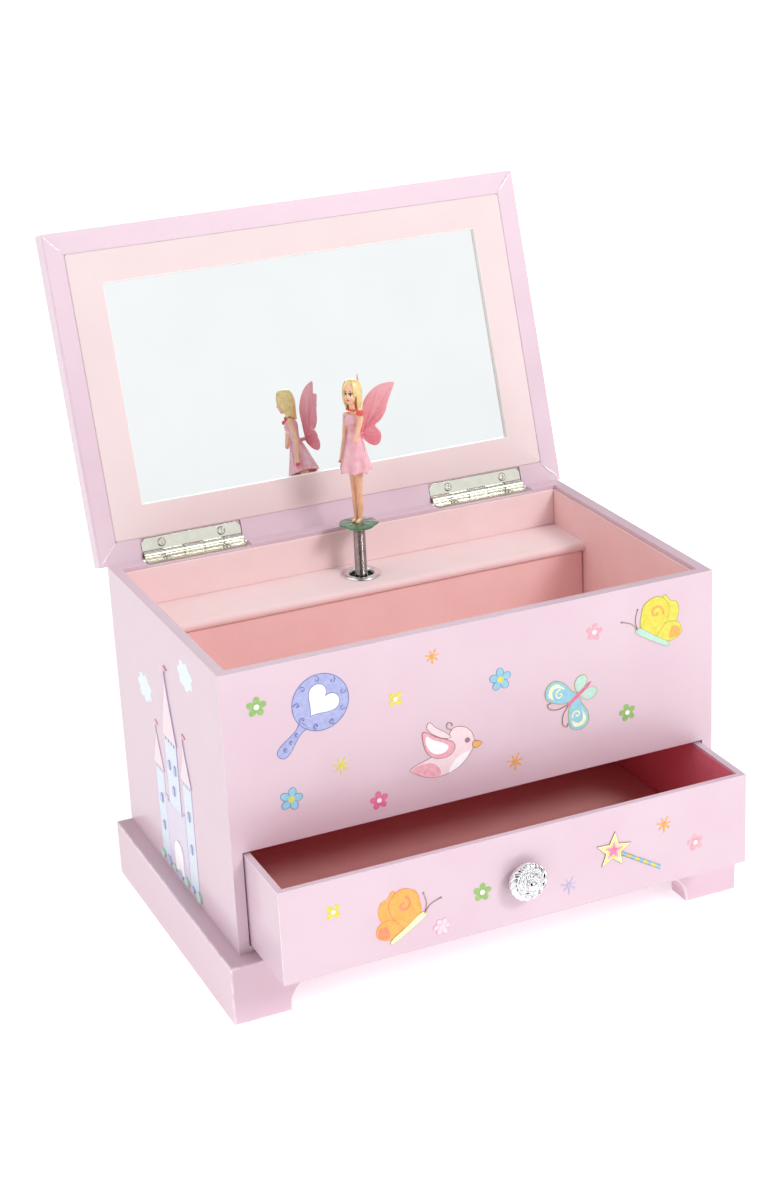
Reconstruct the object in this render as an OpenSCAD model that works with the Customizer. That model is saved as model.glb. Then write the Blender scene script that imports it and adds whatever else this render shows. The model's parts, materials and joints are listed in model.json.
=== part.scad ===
// Musical jewellery box with a lift-up lid, a drawer and a sprung turning fairy.
// Millimetres. X runs along the front, Y to the back, Z up.
// The origin is the centre of the body's footprint on the table.

/* [Body] */
// Width of the box body
body_w = 190; // [180:1:200]
// Depth of the box body
body_d = 119; // [117:1:123]
// Height of the rim above the table
rim_z = 128; // [127:0.5:130]
// Thickness of the front and side walls
wall = 4; // [3.5:0.5:4.5]
// Thickness of the back wall that carries the hinges
back_wall = 5.5; // [5:0.5:6]
// Thickness of the lining panels
lining_t = 1; // [0.6:0.2:1.2]

/* [Base] */
// Height of the base frame
base_h = 22.7; // [21:0.1:23]
// How far the base stands out at the sides
base_side = 6.2; // [4:0.1:8]
// How far the base stands out at the front
base_front = 7.5; // [5:0.1:9]
// Width of a foot at the base of the front board
foot_w = 21.7; // [18:0.1:26]
// Height of the arch between the front feet
arch_h = 12; // [10.5:0.5:14]

/* [Lid] */
// Width of the lid
lid_w = 195; // [193:1:199]
// Depth of the lid
lid_d = 125.3; // [124:0.1:127]
// Thickness of the lid
lid_t = 7; // [6.6:0.1:9]
// How far the lid stands open
open_angle = 107.2; // [90:0.1:110]
// Width of the mirror's window
window_w = 153.3; // [140:0.1:156]
// Height of the mirror's window
window_d = 83.4; // [76:0.1:86]

/* [Drawer] */
// Height of the drawer's front
drawer_h = 35.1; // [33:0.1:35.2]
// Depth of the drawer
drawer_d = 108; // [90:1:110]
// How far the drawer stands open
drawer_out = 31; // [0:1:70]
// Diameter of the drawer's knob
knob_dia = 14.4; // [12:0.2:18]

/* [Figure] */
// Height of the ledge that hides the movement
ledge_z = 112; // [111:0.5:114]
// Distance of the turning figure behind the middle of the box
figure_y = 41.3; // [39:0.1:42]
// Way the figure faces at rest, turned from the front
figure_yaw = -68; // [-180:1:180]
// Angle between each wing and straight back
wing_spread = 49; // [40:1:65]

/* [Hidden] */
$fn = 48;

paper = [0.93, 0.80, 0.87];
paper_dark = [0.86, 0.70, 0.78];
flock = [0.90, 0.68, 0.68];
flock_pale = [0.95, 0.82, 0.83];
nickel = [0.80, 0.80, 0.76];
brass = [0.80, 0.66, 0.35];
steel = [0.62, 0.63, 0.65];
skin = [0.95, 0.76, 0.62];

// Body planes
half_w = body_w / 2;
front_y = -body_d / 2;
back_y = body_d / 2;
in_x = half_w - wall;
in_front = front_y + wall;
in_back = back_y - back_wall;

// Boards across the body
board_t = 2.5;
divider_t = 3;
drawer_gap = 0.9;
drawer_z = base_h + board_t + 0.3;
divider_z = drawer_z + drawer_h + drawer_gap;
floor_z = divider_z + divider_t;
lining_z = rim_z - 1.5;

// Base frame
base_wall = 11;
arch_r = 10;

// Ledge over the movement
ledge_y = 27;
ledge_t = 3.5;
fascia_t = 3;
eyelet_r = 5.6;
eyelet_bore = 4.7;
eyelet_flange = 7.8;

// Hinges: leaves, knuckles and pin about one axis behind the rim
lid_gap = 1;
hinge_y = back_y + 1.8;
hinge_z = rim_z + lid_gap / 2;
hinge_x = 60;
hinge_w = 40;
leaf_t = 0.8;
leaf_front = in_back + 0.8;
knuckle_r = 1.5;
knuckles = 5;
pin_r = 0.65;
pin_bore = 0.7;
leaf_screw_x = 12;
leaf_screw_y = 57.2;
mortise_d = 1;

// Lid, drawn closed and then swung open
lid_z = rim_z + lid_gap;
frame_t = 3.6;
mat_t = 1.6;
mat_proud = 0.6;
mat_w = 179.4;
mat_d = 108.6;
glass_w = 160;
glass_d = 90;
glass_t = 2;
lid_mid_y = hinge_y + 1.35 - lid_d / 2;

// Drawer
drawer_w = 2 * in_x - 1;
drawer_wall = 2.5;
drawer_y = front_y - drawer_out;
knob_z = drawer_z + drawer_h / 2;
knob_r = knob_dia / 2;

// Movement: main wheel about Y, drum about X, spindle about Z
wheel_z = 88;
wheel_teeth = 36;
pinion_teeth = 12;
wheel_r = 9;
pinion_r = wheel_r * pinion_teeth / wheel_teeth;
mesh_y = figure_y + pinion_r;
bed_t = 1.5;
bed_y = in_back - bed_t;
drum_x0 = 12.5;
drum_len = 16;
drum_r = 6.5;
pin_len = 0.9;
drum_gear_teeth = 30;
fan_teeth = 10;
drum_gear_r = 6;
fan_pinion_r = drum_gear_r * fan_teeth / drum_gear_teeth;
fan_z = wheel_z + drum_gear_r + fan_pinion_r;
arbor_r = 1.5;
bed_screws = [[-12, 74], [-12, 102], [36, 74], [36, 102]];

// Figure
spring_z0 = 112;
spring_z1 = 132;
spring_r = 2.4;
leaf_r = 8;
feet_z = 133.3;
hem_z = 154;
neck_z = 177.5;
head_z = 184.6;
head_r = 3.9;

// ---------- helpers ----------

// A box from its lowest to its highest corner
module span(low, high) {
    translate(low) cube(high - low);
}

// A cylinder that runs along +Y
module along_y(r, from, to) {
    translate([0, from, 0]) rotate([-90, 0, 0]) cylinder(r = r, h = to - from);
}

// A cylinder that runs along +X
module along_x(r, from, to) {
    translate([from, 0, 0]) rotate([0, 90, 0]) cylinder(r = r, h = to - from);
}

// Swings a piece of the closed lid open about the hinge axis
module lid_open() {
    translate([0, hinge_y, hinge_z]) rotate([-open_angle, 0, 0])
        translate([0, -hinge_y, -hinge_z]) children();
}

// Places a piece on both hinges
module on_hinges() {
    for (side = [-1, 1]) translate([side * hinge_x, 0, 0]) children();
}

// Places a figure piece on its turning axis, facing its rest direction
module on_figure() {
    translate([0, figure_y, 0]) rotate([0, 0, figure_yaw]) children();
}

// A small spur wheel with slim straight-sided teeth
module spur(teeth, pitch_r, depth, thick) {
    tooth = 0.62 * PI * pitch_r / teeth;
    linear_extrude(thick) union() {
        circle(r = pitch_r - depth);
        for (i = [0:teeth - 1]) rotate(360 * i / teeth) polygon([
            [pitch_r - 1.5 * depth, -0.7 * tooth], [pitch_r + depth * 0.8, -0.3 * tooth],
            [pitch_r + depth * 0.8, 0.3 * tooth], [pitch_r - 1.5 * depth, 0.7 * tooth]
        ]);
    }
}

// A wood or machine screw along -Z with a domed, cross-cut head under z = 0
module screw(r, length, head_r, head_h) {
    difference() {
        union() {
            translate([0, 0, -length]) cylinder(r = r, h = length);
            cylinder(r1 = head_r, r2 = head_r * 0.72, h = head_h);
        }
        for (a = [0, 90]) rotate(a)
            translate([-head_r * 0.55, -0.18, head_h * 0.45]) cube([head_r * 1.1, 0.36, head_h]);
    }
}

// ---------- base and body ----------

module base_frame() {
    outer_x = half_w + base_side;
    outer_y = front_y - base_front;
    rear_y = back_y + 0.7;
    arch_x = outer_x - foot_w;
    color(paper_dark) difference() {
        span([-outer_x, outer_y, 0], [outer_x, rear_y, base_h]);
        span([base_wall - outer_x, outer_y + base_wall, -1],
             [outer_x - base_wall, rear_y - base_wall, base_h + 1]);
        // arched cut between the front feet
        translate([0, outer_y + base_wall + 1, 0]) rotate([90, 0, 0])
            linear_extrude(base_wall + 2) union() {
                translate([-arch_x, -1]) square([2 * arch_x, arch_h - arch_r + 1]);
                translate([arch_r - arch_x, -1]) square([2 * (arch_x - arch_r), arch_h + 1]);
                for (side = [-1, 1])
                    translate([side * (arch_x - arch_r), arch_h - arch_r]) circle(r = arch_r);
            }
    }
}

module body_side(side) {
    low = side < 0 ? -half_w : in_x;
    color(paper) span([low, front_y, base_h], [low + wall, back_y, rim_z]);
}

module body_left() body_side(-1);
module body_right() body_side(1);

module body_front() {
    color(paper) span([-in_x, front_y, divider_z], [in_x, in_front, rim_z]);
}

module body_back() {
    color(paper) difference() {
        span([-in_x, in_back, base_h], [in_x, back_y, rim_z]);
        // shallow hinge mortises with sloping ends, and the leaf screws' pilot holes
        on_hinges() {
            translate([0, back_y + 1, rim_z]) rotate([90, 0, 0])
                linear_extrude(back_wall + 2) polygon([
                    [-hinge_w / 2 - 0.3, -mortise_d], [hinge_w / 2 + 0.3, -mortise_d],
                    [hinge_w / 2 + 1.6, 0.5], [-hinge_w / 2 - 1.6, 0.5]
                ]);
            for (x = [-leaf_screw_x, leaf_screw_x])
                translate([x, leaf_screw_y, rim_z - 8]) cylinder(r = 0.9, h = 8);
        }
        // clearance for the winding arbor and the movement's screws
        translate([0, 0, wheel_z]) along_y(3.6, in_back - 1, back_y + 1);
        for (p = bed_screws)
            translate([p[0], 0, p[1]]) along_y(1.3, in_back - 1, back_y + 1);
    }
}

module bottom_board() {
    color(paper_dark) span([-in_x, front_y, base_h], [in_x, in_back, base_h + board_t]);
}

module divider_board() {
    color(paper_dark) span([-in_x, in_front, divider_z], [in_x, in_back, floor_z]);
}

// ---------- linings and ledge ----------

module lining_floor() {
    color(flock) span([lining_t - in_x, in_front + lining_t, floor_z],
                      [in_x - lining_t, ledge_y, floor_z + lining_t]);
}

module lining_side(side) {
    low = side < 0 ? -in_x : in_x - lining_t;
    color(flock) span([low, in_front, floor_z], [low + lining_t, in_back, lining_z]);
}

module lining_left() lining_side(-1);
module lining_right() lining_side(1);

module lining_front() {
    color(flock) span([lining_t - in_x, in_front, floor_z],
                      [in_x - lining_t, in_front + lining_t, lining_z]);
}

module lining_back() {
    color(flock) span([lining_t - in_x, in_back - lining_t, ledge_z],
                      [in_x - lining_t, in_back, lining_z]);
}

module ledge_top() {
    half = in_x - lining_t;
    color(flock_pale) difference() {
        union() {
            span([-half, ledge_y + ledge_t / 2, ledge_z - ledge_t], [half, in_back, ledge_z]);
            translate([0, ledge_y + ledge_t / 2, ledge_z - ledge_t / 2])
                along_x(ledge_t / 2, -half, half);
        }
        translate([0, figure_y, ledge_z - ledge_t - 1]) cylinder(r = eyelet_r, h = ledge_t + 2);
    }
}

module ledge_front() {
    half = in_x - lining_t;
    y0 = ledge_y + ledge_t / 2;
    color(flock) span([-half, y0, floor_z], [half, y0 + fascia_t, ledge_z - ledge_t]);
}

module eyelet() {
    low = ledge_z - ledge_t;
    color(nickel) translate([0, figure_y, 0]) rotate_extrude() union() {
        translate([eyelet_bore, low]) square([eyelet_r - eyelet_bore, ledge_t + 0.6]);
        translate([eyelet_bore, ledge_z])
            square([eyelet_flange - eyelet_bore - 0.6, 1.1]);
        translate([eyelet_flange - 0.6, ledge_z + 0.5]) intersection() {
            circle(r = 0.6);
            translate([-1, -0.5]) square([2, 2]);
        }
    }
}

module spindle_bush() {
    top = ledge_z - ledge_t;
    color(brass) translate([0, figure_y, 0]) difference() {
        union() {
            translate([0, 0, top - 1]) cylinder(r = 7, h = 1);
            translate([0, 0, top - 3.5]) cylinder(r = 3, h = 3);
        }
        translate([0, 0, top - 4]) cylinder(r = 1.05, h = 5);
    }
}

// ---------- hinges ----------

knuckle_w = hinge_w / knuckles;

// One leaf lying under the hinge axis, with every second knuckle from the first one on
module hinge_leaf(first) {
    own = [for (i = [first:2:knuckles - 1]) i];
    z0 = hinge_z - knuckle_r;
    difference() {
        union() {
            translate([0, 0, z0]) linear_extrude(leaf_t) polygon([
                [-hinge_w / 2, back_y], [hinge_w / 2, back_y],
                [hinge_w / 2, leaf_front + 1.6], [hinge_w / 2 - 1.6, leaf_front],
                [1.6 - hinge_w / 2, leaf_front], [-hinge_w / 2, leaf_front + 1.6]
            ]);
            for (i = own) {
                x0 = i * knuckle_w - hinge_w / 2 + 0.1;
                span([x0, back_y - 0.1, z0], [x0 + knuckle_w - 0.2, hinge_y, z0 + leaf_t]);
                translate([0, hinge_y, hinge_z]) along_x(knuckle_r, x0, x0 + knuckle_w - 0.2);
            }
        }
        translate([0, hinge_y, hinge_z]) along_x(pin_bore, -hinge_w, hinge_w);
        for (x = [-leaf_screw_x, leaf_screw_x])
            translate([x, leaf_screw_y, z0 - 1]) cylinder(r = 1, h = leaf_t + 2);
    }
}

module hinge_base_leaves() {
    color(nickel) on_hinges() hinge_leaf(0);
}

module hinge_pins() {
    color(steel) on_hinges() translate([0, hinge_y, hinge_z])
        along_x(pin_r, -hinge_w / 2, hinge_w / 2);
}

module hinge_base_screws() {
    color(nickel) on_hinges() for (x = [-leaf_screw_x, leaf_screw_x])
        translate([x, leaf_screw_y, hinge_z - knuckle_r + leaf_t]) screw(0.88, 6, 1.7, 0.6);
}

// Mirrors a base-side hinge piece across the hinge axis to make the lid's side
module lid_side_up() {
    translate([0, 0, 2 * hinge_z]) mirror([0, 0, 1]) children();
}

module hinge_lid_leaves() {
    color(nickel) lid_open() lid_side_up() on_hinges() hinge_leaf(1);
}

module hinge_lid_screws() {
    color(nickel) lid_open() lid_side_up() on_hinges() for (x = [-leaf_screw_x, leaf_screw_x])
        translate([x, leaf_screw_y, hinge_z - knuckle_r + leaf_t]) screw(0.88, 3, 1.7, 0.6);
}

// ---------- lid ----------

// A plate centred on the lid
module lid_plate(w, d, from, to) {
    translate([-w / 2, lid_mid_y - d / 2, from]) cube([w, d, to - from]);
}

module lid_frame() {
    color(paper) lid_open() difference() {
        lid_plate(lid_w, lid_d, lid_z, lid_z + frame_t);
        lid_plate(glass_w, glass_d, lid_z - 1, lid_z + frame_t + 1);
        lid_plate(mat_w, mat_d, lid_z - 1, lid_z + mat_t - mat_proud);
        on_hinges() {
            span([-hinge_w / 2 - 0.3, leaf_front - 0.3, lid_z - 1],
                 [hinge_w / 2 + 0.3, back_y + lid_d, lid_z + mortise_d]);
            for (x = [-leaf_screw_x, leaf_screw_x])
                translate([x, leaf_screw_y, lid_z]) cylinder(r = 0.9, h = 3.3);
        }
    }
}

module lid_panel() {
    color(paper) lid_open() lid_plate(lid_w, lid_d, lid_z + frame_t, lid_z + lid_t);
}

module lid_mat() {
    low = lid_z - mat_proud;
    color(flock_pale) lid_open() difference() {
        lid_plate(mat_w, mat_d, low, low + mat_t);
        lid_plate(window_w, window_d, low - 1, low + mat_t + 1);
    }
}

module lid_mirror() {
    low = lid_z - mat_proud + mat_t;
    color([0.86, 0.90, 0.91]) lid_open() lid_plate(glass_w, glass_d, low, low + glass_t);
}

module mirror_card() {
    low = lid_z - mat_proud + mat_t + glass_t;
    color([0.75, 0.72, 0.66]) lid_open() lid_plate(glass_w, glass_d, low, lid_z + frame_t);
}

// ---------- drawer ----------

drawer_top = drawer_z + drawer_h;
drawer_back_y = drawer_y + drawer_d;
drawer_in_x = drawer_w / 2 - drawer_wall;
drawer_in_y = drawer_y + drawer_wall;

module drawer_front() {
    color(paper) difference() {
        span([-drawer_w / 2, drawer_y, drawer_z], [drawer_w / 2, drawer_in_y, drawer_top]);
        translate([0, 0, knob_z]) along_y(1.7, drawer_y - 1, drawer_in_y + 1);
    }
}

module drawer_back() {
    color(paper) span([-drawer_w / 2, drawer_back_y - drawer_wall, drawer_z],
                      [drawer_w / 2, drawer_back_y, drawer_top]);
}

module drawer_side(side) {
    low = side < 0 ? -drawer_w / 2 : drawer_in_x;
    color(paper) span([low, drawer_in_y, drawer_z],
                      [low + drawer_wall, drawer_back_y - drawer_wall, drawer_top]);
}

module drawer_left() drawer_side(-1);
module drawer_right() drawer_side(1);

module drawer_bottom() {
    color(paper_dark) span([-drawer_in_x, drawer_in_y, drawer_z],
                           [drawer_in_x, drawer_back_y - drawer_wall, drawer_z + board_t]);
}

module drawer_lining() {
    color(flock) span([-drawer_in_x, drawer_in_y, drawer_z + board_t],
                      [drawer_in_x, drawer_back_y - drawer_wall, drawer_z + board_t + 0.8]);
}

module drawer_knob() {
    color("white") translate([0, drawer_y, knob_z]) rotate([90, 0, 0]) difference() {
        rotate_extrude() polygon([
            [0, 0], [3.6, 0], [3.4, 1.6], [knob_r - 1, 2.4], [knob_r, 3.4], [knob_r, 4.4],
            [knob_r - 0.6, 5.6], [knob_r - 2, 6.8], [knob_r - 4, 7.6], [2, 7.9],
            [1.8, 8.6], [1.1, 9], [0, 9]
        ]);
        translate([0, 0, -1]) cylinder(r = 1.5, h = 5.5);
    }
}

module knob_screw() {
    color(steel) translate([0, drawer_in_y, knob_z]) rotate([-90, 0, 0])
        screw(1.48, drawer_wall + 4, 3, 1.4);
}

// ---------- music movement ----------

module bedplate() {
    color(brass) difference() {
        span([-16, bed_y, 70], [40, in_back, 106]);
        translate([0, 0, wheel_z]) along_y(arbor_r + 0.05, bed_y - 1, in_back + 1);
        for (p = bed_screws) translate([p[0], 0, p[1]]) along_y(1.2, bed_y - 1, in_back + 1);
    }
}

module spring_housing() {
    color(brass) translate([0, 0, wheel_z]) difference() {
        along_y(10.3, mesh_y + 2.7, bed_y);
        along_y(9.7, mesh_y + 3.3, bed_y + 1);
        along_y(arbor_r + 0.4, mesh_y, bed_y);
    }
}

// The mainspring is a flat strip wound in a spiral round the arbor
module mainspring() {
    turns = 4;
    strip = 0.5;
    inner = 2.2;
    outer = 9;
    steps = 32 * turns;
    function at(i, off) = let (r = inner + (outer - inner) * i / steps + off, a = 360 * turns * i / steps)
        [r * cos(a), r * sin(a)];
    color(steel) translate([0, bed_y - 0.4, wheel_z]) rotate([90, 0, 0])
        linear_extrude(bed_y - mesh_y - 4.4) polygon(concat(
            [for (i = [0:steps]) at(i, 0)], [for (i = [steps:-1:0]) at(i, strip)]
        ));
}

module spindle_bracket() {
    z0 = 100;
    color(brass) difference() {
        union() {
            span([-5, figure_y - 5, z0], [5, bed_y, z0 + 1.4]);
            span([-5, bed_y - 1.2, z0], [5, bed_y, 106]);
        }
        translate([0, figure_y, z0 - 1]) cylinder(r = 1.05, h = 4);
    }
}

module drum_brackets() {
    color(brass) difference() {
        union() {
            span([11, figure_y - 2.5, wheel_z - 3], [12, bed_y, wheel_z + 3]);
            span([34, figure_y - 3, wheel_z - 3], [35, bed_y, fan_z + 3]);
        }
        translate([0, figure_y, wheel_z]) along_x(0.85, 10, 36);
        translate([0, figure_y, fan_z]) along_x(0.65, 33, 36);
    }
}

comb_tip = wheel_z - drum_r - pin_len - 0.2;
comb_foot = 71;

module comb_base() {
    color(brass) difference() {
        span([drum_x0, figure_y + 0.5, comb_foot], [drum_x0 + drum_len, bed_y, 76]);
        for (x = [3.5, drum_len - 3.5])
            translate([drum_x0 + x, 0, 73.5]) along_y(0.9, figure_y, bed_y - 3);
    }
}

// Eighteen tuned tongues cut in one steel plate
module comb() {
    tongues = 18;
    pitch = drum_len / tongues;
    color(steel) difference() {
        span([drum_x0, figure_y - 0.5, comb_foot], [drum_x0 + drum_len, figure_y + 0.5, comb_tip]);
        for (i = [1:tongues - 1])
            translate([drum_x0 + i * pitch - 0.09, figure_y - 1, 76.2]) cube([0.18, 2, 10]);
        for (x = [3.5, drum_len - 3.5])
            translate([drum_x0 + x, 0, 73.5]) along_y(1, figure_y - 1, figure_y + 1);
    }
}

module comb_screws() {
    color(steel) for (x = [3.5, drum_len - 3.5])
        translate([drum_x0 + x, figure_y - 0.5, 73.5]) rotate([90, 0, 0]) screw(0.88, 7, 1.8, 0.8);
}

module movement_screws() {
    color(nickel) for (p = bed_screws)
        translate([p[0], back_y, p[1]]) rotate([-90, 0, 0]) screw(1.18, back_wall + bed_t, 2.4, 1.2);
}

// ---------- winding train ----------

module winding_arbor() {
    color(steel) translate([0, 0, wheel_z]) along_y(arbor_r, mesh_y + 0.8, back_y + 9);
}

// Crown wheel: a disc with upright pegs near its rim
module main_wheel() {
    face = mesh_y + 0.9;
    color(brass) translate([0, 0, wheel_z]) difference() {
        union() {
            along_y(10, face, face + 1.2);
            for (i = [0:wheel_teeth - 1]) rotate([0, 360 * (i + 0.5) / wheel_teeth, 0])
                translate([wheel_r - 0.7, face - 1.3, -0.25]) cube([1.4, 1.5, 0.5]);
        }
        along_y(arbor_r, face - 1, face + 2);
    }
}

// Butterfly key: a flat blade with two round, pierced wings on a boss
module winding_key() {
    y0 = back_y + 0.8;
    wing_y = y0 + 14;
    color(brass) translate([0, 0, wheel_z]) difference() {
        union() {
            along_y(3.1, y0, y0 + 11.5);
            translate([0, 0, -0.8]) linear_extrude(1.6) difference() {
                union() {
                    for (side = [-1, 1]) translate([side * 6.5, wing_y]) circle(r = 6.5);
                    translate([-3, y0 + 8]) square([6, 8]);
                }
                for (side = [-1, 1]) translate([side * 7.5, wing_y]) circle(r = 2.8);
            }
        }
        along_y(arbor_r, y0 - 1, back_y + 9);
    }
}

// ---------- spindle, drum and governor ----------

module spindle() {
    color(steel) translate([0, figure_y, 0]) union() {
        translate([0, 0, wheel_z + wheel_r - 2]) cylinder(r = 1, h = 15);
        translate([0, 0, spring_z0 - 2.6]) cylinder(r = 2.4, h = 2.6);
        translate([0, 0, spring_z0 - 1]) cylinder(r = 1.6, h = 2.6);
    }
}

module spindle_pinion() {
    color(brass) translate([0, figure_y, wheel_z + wheel_r - 1]) difference() {
        rotate(90) spur(pinion_teeth, pinion_r, 0.6, 2);
        translate([0, 0, -1]) cylinder(r = 1, h = 4);
    }
}

// Music drum with a repeating pattern of pins
module drum() {
    rows = 18;
    color(brass) translate([0, figure_y, wheel_z]) union() {
        along_x(drum_r, drum_x0, drum_x0 + drum_len);
        along_x(0.8, 7, 34.8);
        for (row = [0:rows - 1], n = [0:2])
            rotate([360 * (n / 3 + (row * 7 % rows) / (3 * rows)), 0, 0])
                translate([drum_x0 + (row + 0.5) * drum_len / rows, 0, 0])
                    cylinder(r = 0.2, h = drum_r + pin_len, $fn = 16);
    }
}

module drum_pinion() {
    color(brass) translate([wheel_r - 1, figure_y, wheel_z]) rotate([0, 90, 0]) difference() {
        rotate(90) spur(pinion_teeth, pinion_r, 0.6, 2);
        translate([0, 0, -1]) cylinder(r = 0.8, h = 4);
    }
}

module drum_gear() {
    color(brass) translate([29, figure_y, wheel_z]) rotate([0, 90, 0]) difference() {
        rotate(180 / drum_gear_teeth) spur(drum_gear_teeth, drum_gear_r, 0.45, 1);
        translate([0, 0, -1]) cylinder(r = 0.8, h = 3);
    }
}

module governor_shaft() {
    color(steel) translate([28.6, figure_y, fan_z]) rotate([0, 90, 0]) union() {
        spur(fan_teeth, fan_pinion_r, 0.45, 1.6);
        cylinder(r = 0.6, h = 6.2);
    }
}

module governor_fan() {
    color(steel) translate([30.6, figure_y, fan_z]) difference() {
        union() {
            along_x(1.1, 0, 2.6);
            span([0.3, -3.8, -0.25], [2.3, 3.8, 0.25]);
        }
        along_x(0.6, -1, 4);
    }
}

// ---------- figure ----------

// Close-wound spring: a tube with one rounded rib for each turn of wire
module figure_spring() {
    wire = 0.8;
    turns = floor((spring_z1 - spring_z0) / wire);
    color(nickel) translate([0, figure_y, spring_z0]) rotate_extrude() polygon(concat(
        [[spring_r - 0.7, 0]],
        [for (i = [0:turns - 1], p = [[0.15, 0.05], [0, 0.3], [0, 0.7], [0.15, 0.95]])
            [spring_r - p[0], (i + p[1]) * (spring_z1 - spring_z0) / turns]],
        [[spring_r - 0.7, spring_z1 - spring_z0]]
    ));
}

module leaf_base() {
    color([0.16, 0.48, 0.26]) translate([0, figure_y, 0]) union() {
        translate([0, 0, spring_z1]) rotate_extrude() polygon([
            [0, 0], [3, 0], [leaf_r - 1, 0.5], [leaf_r, 1], [leaf_r - 0.6, 1.5],
            [5, feet_z - spring_z1], [0, feet_z - spring_z1]
        ]);
        translate([0, 0, spring_z1 - 2]) cylinder(r = 1.6, h = 3);
    }
}

// A limb from one point to another, tapering, with a slightly wider ball at its far end
module limb(from, to, r0, r1) {
    v = to - from;
    translate(from) rotate([0, acos(v[2] / norm(v)), atan2(v[1], v[0])])
        union() {
            cylinder(r1 = r0, r2 = r1, h = norm(v), $fn = 24);
            translate([0, 0, norm(v)]) sphere(r = r1 + 0.12, $fn = 24);
        }
}

// Where the limbs bend: +X is the figure's left, -Y is the way it faces
shoulder_x = 4.8;
shoulder_z = neck_z - 2.4;
hand_r = 0.8;
left_elbow = [5.2, -4.2, 168];
left_hand = [6.2, -2.2, 176.2];
right_elbow = [-6.2, 0.4, 166.5];
right_hand = [-7.2, -1.2, 158.5];

module dress_shape() {
    rotate_extrude() polygon([
        [0, hem_z], [5.6, hem_z], [5.9, hem_z + 0.8], [5.2, hem_z + 6], [4.2, hem_z + 10.5],
        [2.9, hem_z + 14], [3.2, hem_z + 17], [3.7, hem_z + 20.5], [2.6, neck_z - 0.6],
        [1.3, neck_z], [0, neck_z]
    ]);
}

module fairy_body() {
    color(skin) on_figure() union() {
        // legs, together on tiptoe, up to the hem
        for (side = [-1, 1]) {
            translate([side * 1.1, 0, feet_z]) cylinder(r1 = 0.9, r2 = 1.3, h = 8, $fn = 24);
            translate([side * 1.1, 0, feet_z + 8])
                cylinder(r1 = 1.3, r2 = 1.7, h = hem_z - feet_z - 8, $fn = 24);
            translate([side * 1.1, -1.1, feet_z + 0.9]) sphere(r = 0.9, $fn = 24);
        }
        // neck and head
        translate([0, 0, neck_z]) cylinder(r = 1.2, h = 4, $fn = 24);
        translate([0, -0.4, head_z]) sphere(r = head_r, $fn = 32);
        // arms, clear of the dress
        limb([shoulder_x, 0, shoulder_z], left_elbow, 1.2, 1);
        limb(left_elbow, left_hand, 1, hand_r);
        limb([-shoulder_x, 0, shoulder_z], right_elbow, 1.2, 1);
        limb(right_elbow, right_hand, 1, hand_r);
    }
}

module fairy_dress() {
    color([0.93, 0.60, 0.68]) on_figure() dress_shape();
}

module fairy_hair() {
    color([0.94, 0.80, 0.50]) on_figure() difference() {
        union() {
            translate([0, 0.6, head_z + 0.5]) sphere(r = head_r + 0.9, $fn = 32);
            translate([0, 2.2, neck_z - 1.5]) cylinder(r1 = 1.8, r2 = 3.2, h = 8, $fn = 32);
        }
        translate([0, -0.4, head_z]) sphere(r = head_r, $fn = 32);
        translate([0, -4.6, head_z - 2.2]) sphere(r = 3.9, $fn = 32);
        translate([0, 0, neck_z - 3]) cylinder(r = 1.2, h = 7.2, $fn = 24);
        dress_shape();
    }
}

// One butterfly wing, drawn outward from the back and upward
wing_outline = [
    [0, 168.8], [2, 171.5], [3.4, 176.5], [5.6, 181.5], [8.6, 185], [11.6, 186.8], [13.1, 186.6],
    [12.6, 183], [11.2, 179], [9.8, 174.5], [7.6, 171.2], [8.4, 168.5], [8, 165.6],
    [6.4, 163.6], [4.2, 164.2], [2, 165.8], [0, 166.8]
];
// How far the wings' root stands behind the figure's axis
wing_root = 4.2;

module fairy_wings() {
    color([0.93, 0.58, 0.64]) on_figure() difference() {
        union() {
            for (side = [-1, 1]) translate([0, wing_root, 0])
                rotate([90, 0, 90 - side * wing_spread]) translate([0, 0, -0.4])
                    linear_extrude(0.8) polygon(wing_outline);
            // stem into the back of the dress
            span([-0.6, 1, 167], [0.6, wing_root + 0.3, 168.6]);
        }
        dress_shape();
    }
}

module fairy_flowers() {
    color([0.88, 0.25, 0.28]) on_figure() {
        translate(left_hand + [0, 0, 2.35]) sphere(r = 1.4, $fn = 24);
        translate(right_hand - [0, 0, 1.95]) sphere(r = 1, $fn = 24);
    }
}

// ---------- the assembly ----------

base_frame();
body_left();
body_right();
body_front();
body_back();
bottom_board();
divider_board();
lining_floor();
lining_left();
lining_right();
lining_front();
lining_back();
ledge_top();
ledge_front();
eyelet();
spindle_bush();
hinge_base_leaves();
hinge_pins();
hinge_base_screws();
bedplate();
spring_housing();
mainspring();
spindle_bracket();
drum_brackets();
comb_base();
comb();
comb_screws();
movement_screws();
lid_frame();
lid_panel();
lid_mat();
lid_mirror();
mirror_card();
hinge_lid_leaves();
hinge_lid_screws();
drawer_front();
drawer_back();
drawer_left();
drawer_right();
drawer_bottom();
drawer_lining();
drawer_knob();
knob_screw();
winding_arbor();
main_wheel();
winding_key();
spindle();
spindle_pinion();
drum();
drum_pinion();
drum_gear();
governor_shaft();
governor_fan();
figure_spring();
leaf_base();
fairy_body();
fairy_dress();
fairy_hair();
fairy_wings();
fairy_flowers();
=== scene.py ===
"""Looks of the musical jewellery box: paper-wrapped boards, flocked linings, nickel hinges, prints, fairy."""
import json
import math

import bmesh
import bpy
from mathutils import Matrix, Vector, noise
from mathutils.bvhtree import BVHTree


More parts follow.
